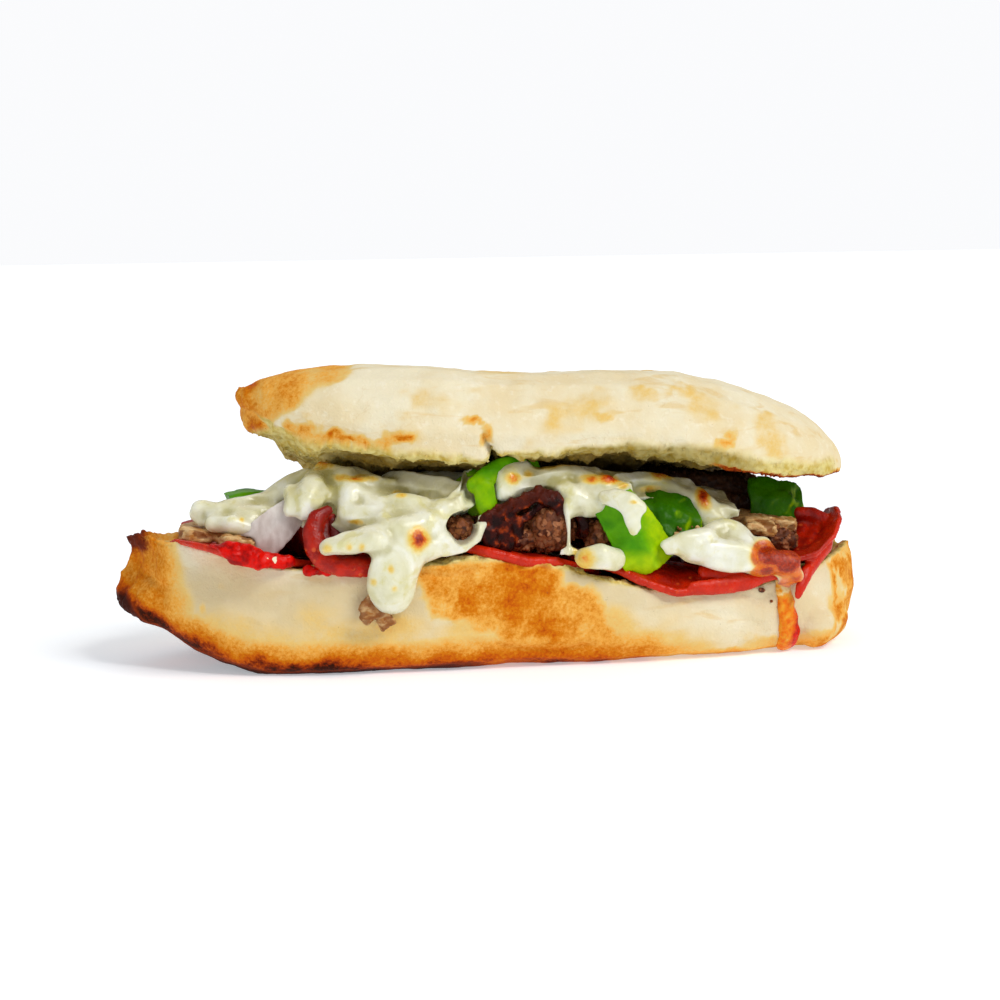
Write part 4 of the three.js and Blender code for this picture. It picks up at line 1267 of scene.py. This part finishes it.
class SANDWICH_OT_peppers(SandwichOperator, bpy.types.Operator):
    """Make the strips of green pepper"""

    bl_idname = "sandwich.peppers"
    bl_label = "Green Pepper"

    def execute(self, context):
        for index, node in enumerate(nodes_named("pepper_strip")):
            runs = PEPPER_RUNS.get(node, ())
            piece, clay = fine_copy(node, settings().filling_detail, rounds=6, swell=0.2, runs=runs)
            rest = clay.points.copy()
            wilted = node in WILTED_STRIPS
            clay.push((0.8 if wilted else 0.4) * fractal(rest, 5 if wilted else 7, 90 + index, 3))
            normals = clay.normals()
            facing = normals @ np.array([0.75, 0.0, -0.5]) + 0.15 * noise(rest, 5, 95)
            x, _, z = rest.T
            cut = ease(0.1, 0.5, facing)
            if node == "pepper_strip_1":
                cut = 0.5 * ease(52.5, 49.5, z)
            elif node == "pepper_strip_2":
                cut = np.maximum(ease(32, 36.4, x + 0.25 * (z - 40)), ease(31.5, 27.4, z))
            clay.mark("flesh", cut)
            clay.mark("cooked", np.full(len(rest), 0.75 if wilted else 0.1))
            clay.save()
            finish_piece(piece, pepper_material(), "green_pepper", node)
        return {"FINISHED"}


# How much darker a slice is all over: the one that slid onto the front wall.
MUSHROOM_DARKENING = {"mushroom_slice_4": 0.7}


class SANDWICH_OT_mushrooms(SandwichOperator, bpy.types.Operator):
    """Make the mushroom slices"""

    bl_idname = "sandwich.mushrooms"
    bl_label = "Mushroom"

    def execute(self, context):
        for index, node in enumerate(nodes_named("mushroom_slice")):
            piece, clay = fine_copy(node, settings().filling_detail, rounds=5, swell=0.2)
            rest = clay.points.copy()
            wrinkles = 1 - np.abs(fractal(rest * (1, 1, 1.8), 4.2, 100 + index, 4))
            clay.push(0.8 * wrinkles - 0.6)
            clay.mark("rim", ease(0.8, 0.45, wrinkles) + MUSHROOM_DARKENING.get(node, 0.0))
            clay.save()
            finish_piece(piece, mushroom_material(), "mushroom", node)
        return {"FINISHED"}


class SANDWICH_OT_onions(SandwichOperator, bpy.types.Operator):
    """Make the onion strips"""

    bl_idname = "sandwich.onions"
    bl_label = "Onion"

    def execute(self, context):
        for index, node in enumerate(nodes_named("onion_strip")):
            piece, clay = fine_copy(node, settings().filling_detail, rounds=22, swell=0.4)
            clay.push(0.3 * fractal(clay.points, 7, 110 + index, 2))
            clay.save()
            finish_piece(piece, onion_material(), "onion", node)
        return {"FINISHED"}


# Folds, lobes, drips and strings of cheese, by the solid that they belong to.
CHEESE_RUNS = {
    "cheese_blanket": [
        # The mass at the left and the folds that run down from it.
        round_run(
            (-48.5, -16, 50, 3), (-50.6, -21, 48, 3.8), (-52.6, -25, 45, 3.2), (-53.5, -27, 42.4, 2)
        ),
        round_run(
            (-47, -12, 51, 3), (-41.5, -18, 49.4, 4), (-40.5, -24, 45.5, 4.6), (-42.5, -28, 41.4, 3.2)
        ),
        round_run(
            (-39.3, -14, 49.4, 3.4), (-33, -20, 46.8, 4), (-32, -26, 42.9, 4.4), (-36, -30, 39.7, 4)
        ),
        round_run((-41, -23, 48, 2.4), (-35, -23, 49, 2.4), (-29.8, -22, 47.8, 2.4)),
        round_run((-37, -28, 43, 3), (-30, -29, 44.2, 3.4), (-22.5, -30, 42.8, 3.4)),
        round_run((-27.3, -12, 45.6, 3), (-17.5, -11, 47.2, 4), (-9.9, -12, 47.4, 3)),
        # The finger, the body and the thick drip over the roll's side.
        low_run((-47, -38, 34.6, 3.4), (-42.5, -38.4, 35.4, 4.6), (-37, -38, 36.4, 5.6)),
        round_run((-38, -37.4, 36.4, 3.6), (-30.3, -36, 37.9, 5), (-23, -34.6, 38.6, 5)),
        round_run(
            (-33, -33, 39, 5), (-28.4, -35, 35.8, 6), (-23.4, -34, 37, 5.2), (-20, -32, 40.6, 4.2)
        ),
        flat_run(
            (-29.6, -38, 33.6, 7.4),
            (-31.2, -39.6, 28.4, 7),
            (-32.3, -40, 24.2, 6.6),
            (-32.4, -40, 21.6, 5.2),
        ),
        # Two strings that frame a dark hole.
        round_run((-23.5, -37, 33.2, 3.4), (-17.4, -36.8, 31.8, 1.8), (-12.5, -36.2, 32.6, 1.4)),
        round_run((-12.5, -36.2, 32.6, 1.4), (-9, -35, 35, 1.4), (-7.2, -33.8, 38.6, 1.3)),
        round_run((-19.4, -32, 40.6, 4.2), (-16, -30.6, 43.4, 3.6), (-13.2, -29, 46, 2.8)),
        round_run((-13.2, -29, 46, 2.8), (-10.4, -26.6, 49.2, 2.0), (-8.6, -24.4, 51.6, 1.6)),
        # Cheese over the onion's upper end.
        round_run((-56, -20, 47.4, 2), (-55.6, -24, 45.2, 2.2), (-57, -26, 42.8, 1.4)),
        # The band along the top right, its lobes and the thin string under it.
        round_run((-0.6, -28.6, 46.8, 3.4), (0.9, -27.4, 49.6, 3.8), (5.2, -24, 51, 3.8)),
        round_run((2, -27, 48, 3.6), (11, -24, 49, 3.8), (18.3, -24, 48.6, 3.8), (22, -26, 47.4, 3.6)),
        round_run(
            (14.4, -26.4, 47, 3), (17.5, -30, 44, 3.4), (20.8, -31, 41.6, 3), (23.5, -31.6, 42.6, 2.8)
        ),
        round_run((20.9, -28, 46.2, 3.4), (26, -29, 46.2, 3.6), (31, -29, 44.4, 3)),
        round_run((26.8, -20, 47.6, 3), (38.2, -18, 46, 3), (46, -18, 44.2, 3), (51.6, -20, 41, 2.8)),
        round_run(
            (15.2, -32.6, 41, 1.7),
            (15.2, -33.8, 36.4, 1.1),
            (15, -35, 32.5, 1.2),
            (14.6, -36, 30.8, 1.8),
        ),
        flat_run((12.6, -36.4, 30.7, 1.2), (16.9, -36.4, 30.4, 1.3)),
        round_run((53.8, -21, 41, 2.6), (55.5, -24, 37.6, 3), (56.1, -26, 34.8, 2.4)),
    ],
    "cheese_left": [
        round_run(
            (-79, -14, 42.6, 2.6), (-74, -16, 41.8, 3), (-68, -17, 41.4, 3), (-61, -16, 41.3, 2.6)
        ),
        round_run((-76.5, -19, 39.6, 2.2), (-71.7, -21, 39.4, 3), (-67.1, -21.6, 38.2, 2.2)),
        round_run(
            (-65, -14, 41.9, 2.6), (-59.6, -12, 45.2, 3), (-55.1, -12, 48, 3.2), (-51.2, -11, 50, 3)
        ),
        round_run((-80.3, -13, 41.4, 1.8), (-78.9, -15.6, 39.8, 1.8)),
    ],
    "cheese_right": [
        round_run((40.4, -36, 31.8, 1.8), (46, -35.5, 32.6, 2.8), (52, -34, 32.7, 3.6)),
        round_run(
            (53.9, -32, 34, 3), (57.7, -30.4, 35, 2.8), (61.3, -30.4, 33.4, 2.8), (63, -31, 31.4, 2.6)
        ),
        round_run((47.3, -35.4, 30.2, 3.6), (55.6, -35, 29.4, 4.4), (62.5, -35, 27.4, 4.2)),
        low_run((53, -36, 26.4, 2.8), (59.3, -36.2, 25.4, 3), (64, -36.2, 25.2, 2.8)),
        round_run((64.3, -32, 29.4, 2.6), (68.5, -31.4, 29.6, 2.4), (70.6, -32, 28, 2)),
        round_run(
            (65.6, -35.4, 25.2, 3.2), (69.8, -35.6, 26, 3.4), (74.3, -35, 24.8, 3.4), (77, -34, 22, 2.4)
        ),
    ],
    "cheese_finger": [
        round_run((18.9, -37.4, 29.5, 3.2), (22.6, -37.4, 29.8, 3.8), (26.6, -37, 28.6, 3.4)),
    ],
    "cheese_on_pepper": [
        round_run((27, -35.6, 44.8, 2.2), (30.7, -37.6, 43.7, 2.6), (33.3, -38.2, 42, 2.2)),
        flat_run((30.6, -38.4, 42.4, 2.4), (30.6, -39.4, 39.2, 2.1), (31.2, -40, 36.4, 1.8)),
    ],
}

# The middle lines of the cheese's thin strings.
CHEESE_STRINGS = [
    round_run((-18, -36.8, 31.8, 1), (-12.5, -36.2, 32.6, 1), (-9, -35, 35, 1), (-7.2, -33.8, 38.6, 1)),
    round_run((-15, -30, 44.4, 1), (-12.4, -28.2, 46.8, 1), (-9.4, -25.4, 50.4, 1)),
    round_run((15.2, -33.4, 38.6, 1), (15.2, -34, 36, 1), (15, -35, 32.5, 1)),
]

# Browned places on the cheese, as spots() takes them.
CHEESE_BROWN = [
    (-25.5, -40, 36.4, 2.7, 8, 2.9, 0.8),
    (-47.8, -18, 54.0, 3.4, 9, 1.3, 0.85),
    (-42.4, -22, 50.6, 3.0, 9, 0.9, 0.4),
    (-38.4, -24, 50.4, 4.6, 9, 0.8, 0.5),
    (-28.7, -28, 46.6, 2.0, 9, 0.8, 0.35),
    (-48.6, -38, 34.7, 1.2, 6, 1.3, 0.36),
    (-43.6, -40, 35.3, 1.1, 6, 1.3, 0.42),
    (-40.4, -40, 35.2, 1.0, 6, 1.4, 0.36),
    (-40.9, -37, 40.3, 2.2, 6, 0.8, 0.55),
    (-33.0, -43, 29.2, 1.0, 6, 1.3, 0.36),
    (-37.2, -41, 25.8, 0.9, 6, 1.2, 0.34),
    (-32.3, -43, 24.1, 1.0, 6, 1.0, 0.34),
    (-69.4, -23, 40.6, 0.8, 5, 0.8, 0.32),
    (1.4, -30, 50.1, 2.2, 6, 1.5, 0.58),
    (5.6, -29, 51.0, 1.6, 6, 1.2, 0.34),
    (22.0, -30, 49.0, 2.6, 7, 1.1, 0.62),
    (27.0, -30, 49.0, 3.0, 7, 1.2, 0.78),
    (30.6, -30, 47.4, 1.8, 7, 1.0, 0.5),
    (31.0, -39, 43.9, 1.6, 4, 0.7, 0.34),
    (14.8, -22, 52.6, 9.0, 8, 0.9, 0.4),
    (44.2, -18, 48.2, 5.0, 9, 1.3, 0.55),
    (40.0, -22, 45.0, 4.0, 6, 1.0, 0.4),
    (54.4, -22, 42.0, 1.8, 7, 2.6, 0.8),
    (18.4, -38, 29.0, 2.6, 8, 3.4, 0.52),
    (68.6, -37, 28.0, 4.2, 6, 2.8, 1.5),
    (73.6, -37, 26.4, 4.2, 6, 3.6, 1.5),
    (67.6, -37, 23.8, 3.4, 6, 2.0, 1.1),
    (76.4, -35, 21.4, 2.2, 6, 2.2, 0.6),
]

# Where the cheese is thin enough for what lies under it to show through, and where painted shade
# darkens its top band and its back.
CHEESE_THIN_AND_SHADED = [
    (12, -24, 48.5, 8, 12, 3.0, 0.7),
    (40, -16, 46, 14, 10, 4, 0.8),
    (-18, -8, 48, 12, 8, 5, 0.9),
    (-44, -14, 52, 4, 8, 1.6, 0.5),
    (-8, -28, 44, 3, 6, 3, 0.6),
    (22, -32, 42, 4, 6, 1.6, 0.45),
    (0, 10, 46, 60, 16, 8, 0.5),
]


class SANDWICH_OT_cheese(SandwichOperator, bpy.types.Operator):
    """Make the melted cheese"""

    bl_idname = "sandwich.cheese"
    bl_label = "Cheese"

    def execute(self, context):
        detail = settings().cheese_detail
        for index, node in enumerate(nodes_named("cheese")):
            piece, clay = fine_copy(node, detail, rounds=6, runs=CHEESE_RUNS[node])
            clay = close_gaps(piece, clay, detail, reach=0.9, rounds=10)
            rest = clay.points.copy()
            folds = 0.45 * fractal(rest * (1, 1, 0.6), 5.2, 126, 2)
            clay.push(0.5 * fractal(rest, 8, 120 + index, 2) + folds)
            brown = np.minimum(spots(rest, CHEESE_BROWN), 0.86)
            clay.push(0.4 * ease(0.3, 0.8, brown))
            clay.relax(12)
            x, y, z = rest.T
            # The drip's own body sinks into the bread, and a film stands for it.
            drip = ease(69, 71, x) * ease(21, 17, z)
            clay.points[:, 1] += 4.0 * drip
            if node == "cheese_blanket":
                clay.pinch(CHEESE_STRINGS, reach=4.4, share=0.5)
                gap = np.hypot(x + 13.6, z - 38.4)
                clay.points[:, 1] += 12 * ease(3.8, 2.6, gap) * ease(-26, -30, y)
                # Beside the pepper the cheese lies behind it.
                arm = ease(-13, -10.5, x) * ease(-2.5, -4.5, x) * ease(43, 45.5, z)
                clay.points[:, 1] += 6 * arm * ease(53.5, 51.5, z) * ease(-21, -25, y)
                clay.relax(2)
            # Painted shade and light: the cheese is darker towards the back and in its hollows and
            # lighter on its bulges, over the spots where what lies under it shows through.
            below = clay.hollows(26)
            thin = np.maximum(spots(rest, CHEESE_THIN_AND_SHADED), 0.3 * ease(-34, -20, y))
            thin = thin + 0.6 * ease(0.04, 0.5, below) - 0.4 * ease(0.05, 0.5, -below)
            clay.mark("thin", thin)
            ragged = (0.3 - 0.18 * ease(60, 64, x)) * fractal(rest, 2.0, 130, 3)
            clay.mark("brown", brown * (0.9 + ragged))
            oily = 0.7 * ease(0.12, 0.3, brown) * ease(0.8, 0.5, brown) * ease(58, 62, x)
            clay.mark("grease", np.maximum(oily, 0.9 * ease(24, 20, z) * ease(70, 73, x)))
            clay.save()
            finish_piece(piece, cheese_material(), "cheese", node)
        return {"FINISHED"}


# Where tomato sauce runs over the lower half's rim and down its front.
SAUCE_RUNS = [
    round_run((-77, -29, 36, 1.2), (-73.6, -32, 35, 2.6), (-70, -35, 34, 3.2)),
    round_run((-70, -35, 34, 3.4), (-66, -37, 33, 2.8), (-61, -38, 32, 2.2), (-56, -39, 31.4, 1.8)),
    round_run((-56, -39, 31.4, 1.8), (-50, -40, 30.4, 1.5), (-42, -40, 30, 1.2)),
    round_run((-72, -35, 32, 2.2), (-70.6, -37, 30, 1.7), (-70, -38, 27.6, 0.8)),
    round_run((-60, -36, 35, 1.4), (-66, -34, 36, 1.6), (-71, -31, 36, 1.4)),
    round_run((79.4, -32, 21, 1.8), (82, -31, 21.6, 1.6), (84.6, -30, 22.6, 0.8)),
]

# Where sauce and oil run down from the browned cheese to the floor.
DRIP_RUNS = [
    round_run((75.2, -36, 22, 2.8), (76, -36, 17, 2.5), (76.8, -35, 12, 2.8)),
    round_run((76.8, -35, 12, 2.8), (77.4, -33, 7, 3.4), (77.4, -31, 3, 3.5), (77.2, -30, 1.4, 3.4)),
]

# Bits that fell on the sauce and on the front wall.
FALLEN_CRUMBS = [
    round_run((-62.6, -38, 32.4, 1.2), (-61, -38, 31.4, 1.4)),
    round_run((-59.6, -38, 30.6, 0.9)),
]
FALLEN_BEEF = [
    round_run((68.4, -36, 18.8, 0.7), (69.2, -36, 18.4, 0.6)),
    round_run((72.4, -36, 17.6, 0.7), (73.6, -36, 16.6, 1.0), (74.4, -36, 16, 0.7)),
    round_run((71.2, -36, 15.4, 0.5)),
]


class SANDWICH_OT_sauce(SandwichOperator, bpy.types.Operator):
    """Make the sauce on the rim and the front, and the bits that fell there"""

    bl_idname = "sandwich.sauce"
    bl_label = "Sauce"

    def execute(self, context):
        detail = settings().filling_detail
        bread = bpy.data.objects["roll_lower_fine"]
        tree = surface_tree(bread, bpy.data.objects["pepperoni_front_1_fine"])
        for name, runs, seed in (("tomato_sauce", SAUCE_RUNS, 140), ("oily_drip", DRIP_RUNS, 150)):
            piece, clay = film(name, runs, tree, 0.45, 0.1, detail, rounds=12)
            rest = clay.points.copy()
            clay.relax(16)
            clay.push(0.14 * fractal(rest, 3.5, seed, 2))
            clay.points[:, 2] = np.maximum(clay.points[:, 2], 0.1)
            x, _, z = rest.T
            core = ease(76.2, 78.4, x + 0.6 * noise(rest, 4, 151)) * ease(17, 13, z)
            oily = 0.7 + 0.3 * ease(14, 19, z) - 0.5 * core
            lowest = ease(29.6, 28.2, z) * ease(-60, -66, x)
            clay.mark("oil", oily if name == "oily_drip" else 0.4 * lowest)
            clay.save()
            finish_piece(piece, sauce_material(), "pepperoni")
        for name, runs, material, slot in (
            ("fallen_crumbs", FALLEN_CRUMBS, bread_material(), "bread"),
            ("fallen_beef", FALLEN_BEEF, beef_material(), "beef"),
        ):
            piece, clay = film(name, runs, tree, 0.7, 0.3, 0.7 * detail, rounds=2)
            clay.push(0.3 * fractal(clay.points, 1.2, 155, 2))
            clay.save()
            finish_piece(piece, material, slot)
        return {"FINISHED"}


# ---- Loose grains -------------------------------------------------------------------------------


def scatter_tree():
    """Geometry nodes that strew a grain over a surface where its mask attribute says."""
    if "Strew" in bpy.data.node_groups:
        return bpy.data.node_groups["Strew"]
    tree = bpy.data.node_groups.new("Strew", "GeometryNodeTree")
    for label, kind in (
        ("Geometry", "Geometry"),
        ("Grain", "Object"),
        ("Mask", "Float"),
        ("Density", "Float"),
        ("Smallest", "Float"),
        ("Largest", "Float"),
        ("Seed", "Int"),
        ("Material", "Material"),
    ):
        tree.interface.new_socket(label, in_out="INPUT", socket_type="NodeSocket" + kind)
    tree.interface.new_socket("Geometry", in_out="OUTPUT", socket_type="NodeSocketGeometry")
    g = Graph(tree)
    given = g.add("NodeGroupInput").outputs
    points = g.add("GeometryNodeDistributePointsOnFaces", Mesh=given["Geometry"], Seed=given["Seed"])
    g.feed(points.inputs["Density"], g.math("MULTIPLY", given["Density"], given["Mask"]))
    size = g.add("FunctionNodeRandomValue", {"data_type": "FLOAT"}, Seed=given["Seed"])
    g.feed(size.inputs[2], given["Smallest"])
    g.feed(size.inputs[3], given["Largest"])
    turn = g.add("FunctionNodeRandomValue", {"data_type": "FLOAT_VECTOR"}, Seed=given["Seed"])
    turn.inputs[0].default_value = (0, 0, 0)
    turn.inputs[1].default_value = (math.tau, math.tau, math.tau)
    grain = g.add("GeometryNodeObjectInfo", Object=given["Grain"])
    placed = g.add(
        "GeometryNodeInstanceOnPoints",
        Points=points.outputs["Points"],
        Instance=grain.outputs["Geometry"],
        Rotation=turn.outputs[0],
        Scale=size.outputs[1],
    )
    real = g.add("GeometryNodeRealizeInstances", Geometry=placed.outputs["Instances"])
    done = g.add(
        "GeometryNodeSetMaterial", Geometry=real.outputs["Geometry"], Material=given["Material"]
    )
    g.feed(g.add("NodeGroupOutput").inputs["Geometry"], done.outputs["Geometry"])
    return tree


def grain_shape(name, roughness, seed, stretch=(1, 1, 1)):
    """A small uneven lump, one metre across, for scattering at its true size."""
    mesh = bpy.data.meshes.new(name)
    shape = bmesh.new()
    bmesh.ops.create_icosphere(shape, subdivisions=1, radius=0.5)
    for vertex in shape.verts:
        place = np.array([vertex.co])
        lump = 1 + roughness * noise(place, 0.35, seed)[0]
        vertex.co = Vector(vertex.co * lump) * Vector(stretch)
    shape.to_mesh(mesh)
    shape.free()
    return link(name, mesh)


def strew(name, over, grain, mask, density, sizes, seed, material, slot):
    """Strews a grain over a finished piece.

    The mask names an attribute, density is for each square centimetre and sizes are the smallest
    and the largest in millimetres.
    """
    piece = link(name, bpy.data.objects[over].data.copy())
    modifier = piece.modifiers.new("Strew", "NODES")
    modifier.node_group = scatter_tree()
    sockets = {
        item.name: item.identifier
        for item in modifier.node_group.interface.items_tree
        if item.in_out == "INPUT"
    }
    modifier[sockets["Mask"] + "_use_attribute"] = True
    modifier[sockets["Mask"] + "_attribute_name"] = mask
    for label, value in (
        ("Grain", grain),
        ("Density", density * PER_CM2),
        ("Smallest", sizes[0] * MM),
        ("Largest", sizes[1] * MM),
        ("Seed", seed + settings().seed),
        ("Material", material),
    ):
        modifier[sockets[label]] = value
    apply_modifiers(piece)
    finish_piece(piece, material, slot)


class SANDWICH_OT_grains(SandwichOperator, bpy.types.Operator):
    """Strew loose crumbs of bread and grains of beef"""

    bl_idname = "sandwich.grains"
    bl_label = "Loose Grains"

    def execute(self, context):
        crumb = grain_shape("crumb_grain", 0.35, 160)
        morsel = grain_shape("beef_grain", 0.4, 161, (1, 0.85, 0.75))
        size = settings().crumb_size / MM
        grain = settings().grain_size / MM
        bread, beef = bread_material(), beef_material()
        for half, density in (("lower", 9), ("upper", 12)):
            over = f"roll_{half}_fine"
            sizes = (0.5 * size, 1.2 * size)
            strew(f"crumbs_{half}", over, crumb, "crumb", density, sizes, 1, bread, "bread")
        for index, node in enumerate(["beef_filling"] + nodes_named("beef_nugget")):
            over = node + "_fine"
            sizes = (0.35 * grain, 0.9 * grain)
            strew(f"beef_grains_{index}", over, morsel, "loose", 16, sizes, index, beef, "beef")
        bpy.data.objects.remove(crumb)
        bpy.data.objects.remove(morsel)
        return {"FINISHED"}


# ---- The stage ----------------------------------------------------------------------------------

# Each light's name, strength, spread, azimuth, height and colour, with its angles in degrees.
LIGHTS = (
    ("key", 1.5, 30, 48, 44, (1, 0.985, 0.96)),
    ("window", 0.4, 9, 30, 50, (1, 0.99, 0.97)),
    ("fill", 0.6, 60, -46, 16, (0.96, 0.98, 1)),
    ("rear", 0.55, 60, 190, 50, (1, 1, 1)),
)
AMBIENT_STRENGTH = 0.29
BACKDROP_STRENGTH = 1.0

# Where the camera looks, from how far in millimetres, and how it is turned in degrees.
CAMERA_TARGET = (-3.0, -34.0, 44.9)
CAMERA_DISTANCE = 600.0
CAMERA_SWING, CAMERA_DROP, CAMERA_ROLL = 10.0, 7.0, 0.77
SENSOR_WIDTH = 36.0
LENS_RATIO = 2.308  # the focal length over the sensor's width

FLOOR_REACH = 6.0  # metres from its middle to each side


def add_light(name, strength, spread, azimuth, height, colour):
    """A broad soft light from far away. Azimuth 0 is the front, 90 the right-hand end."""
    data = bpy.data.lights.new(name, "SUN")
    data.energy = strength
    data.angle = math.radians(spread)
    data.color = colour
    light = bpy.data.objects.new(name, data)
    turn, lift = math.radians(azimuth), math.radians(height)
    towards = Vector(
        (math.sin(turn) * math.cos(lift), -math.cos(turn) * math.cos(lift), math.sin(lift))
    )
    light.rotation_euler = towards.to_track_quat("Z", "Y").to_euler()
    bpy.context.scene.collection.objects.link(light)


def add_world():
    """Even light from all round, in front of a backdrop that is seen as almost white."""
    world = bpy.data.worlds.new("studio")
    world.use_nodes = True
    g = Graph(world.node_tree)
    background = world.node_tree.nodes["Background"]
    background.inputs["Color"].default_value = (0.96, 0.965, 0.98, 1)
    seen = g.add("ShaderNodeLightPath").outputs["Is Camera Ray"]
    g.feed(background.inputs["Strength"], g.span(seen, 0.0, 1.0, AMBIENT_STRENGTH, BACKDROP_STRENGTH))
    bpy.context.scene.world = world


def add_camera():
    """The camera stands low in front, a little to the left, and is rolled a touch."""
    swing, drop, roll = map(math.radians, (CAMERA_SWING, CAMERA_DROP, CAMERA_ROLL))
    ahead = np.array(
        [math.sin(swing) * math.cos(drop), math.cos(swing) * math.cos(drop), -math.sin(drop)]
    )
    level = np.array([math.cos(swing), -math.sin(swing), 0.0])
    over = np.cross(level, ahead)
    right = math.cos(roll) * level - math.sin(roll) * over
    up = math.sin(roll) * level + math.cos(roll) * over
    turn = Matrix([(right[i], up[i], -ahead[i]) for i in range(3)])
    data = bpy.data.cameras.new("camera")
    data.sensor_width = SENSOR_WIDTH
    data.lens = SENSOR_WIDTH * LENS_RATIO
    data.clip_start = 0.01
    camera = bpy.data.objects.new("camera", data)
    place = (np.array(CAMERA_TARGET) - CAMERA_DISTANCE * ahead) * MM + ORIGIN
    camera.matrix_world = Matrix.Translation(Vector(place)) @ turn.to_4x4()
    bpy.context.scene.collection.objects.link(camera)
    bpy.context.scene.camera = camera


def add_floor():
    """A plain level floor, a little bright of itself so that it looks like the backdrop."""
    mesh = bpy.data.meshes.new("floor")
    outline = [(FLOOR_REACH * x, FLOOR_REACH * y, 0) for x, y in ((-1, -1), (1, -1), (1, 1), (-1, 1))]
    mesh.from_pydata(outline, [], [(0, 1, 2, 3)])
    floor = link("floor", mesh)
    material, _, shader = new_material("floor")
    shader.inputs["Base Color"].default_value = (0.86, 0.88, 0.9, 1)
    shader.inputs["Roughness"].default_value = 0.9
    shader.inputs["Specular IOR Level"].default_value = 0.1
    shader.inputs["Emission Color"].default_value = (0.9, 0.95, 1.0, 1)
    shader.inputs["Emission Strength"].default_value = 0.36
    mesh.materials.append(material)


class SANDWICH_OT_stage(SandwichOperator, bpy.types.Operator):
    """Make the floor, the lights and the camera"""

    bl_idname = "sandwich.stage"
    bl_label = "Stage"

    def execute(self, context):
        context.scene.view_settings.view_transform = "Standard"
        add_world()
        add_floor()
        for light in LIGHTS:
            add_light(*light)
        add_camera()
        return {"FINISHED"}


# ---- The add-on ---------------------------------------------------------------------------------


class SANDWICH_PT_panel(bpy.types.Panel):
    """Lists the sandwich's settings and its steps"""

    bl_idname = "SANDWICH_PT_panel"
    bl_label = "Hot Sub Sandwich"
    bl_space_type = "VIEW_3D"
    bl_region_type = "UI"
    bl_category = "Sandwich"

    def draw(self, context):
        for step in STEPS:
            self.layout.operator(step.bl_idname)
        for name in SandwichSettings.__annotations__:
            self.layout.prop(context.scene.sandwich, name)


STEPS = (
    SANDWICH_OT_stage,
    SANDWICH_OT_lower_bread,
    SANDWICH_OT_upper_bread,
    SANDWICH_OT_pepperoni,
    SANDWICH_OT_crisp,
    SANDWICH_OT_beef,
    SANDWICH_OT_peppers,
    SANDWICH_OT_mushrooms,
    SANDWICH_OT_onions,
    SANDWICH_OT_cheese,
    SANDWICH_OT_sauce,
    SANDWICH_OT_grains,
)
CLASSES = (SandwichSettings, *STEPS, SANDWICH_PT_panel)


def register():
    """Adds the settings, the operators and the panel."""
    for entry in CLASSES:
        bpy.utils.register_class(entry)
    bpy.types.Scene.sandwich = PointerProperty(type=SandwichSettings)


def unregister():
    """Takes away what register() added."""
    del bpy.types.Scene.sandwich
    for entry in reversed(CLASSES):
        bpy.utils.unregister_class(entry)


def main():
    """Builds the whole sandwich, one operator after another."""
    register()
    for step in STEPS:
        group, name = step.bl_idname.split(".")
        getattr(getattr(bpy.ops, group), name)()


if __name__ == "__main__":
    main()
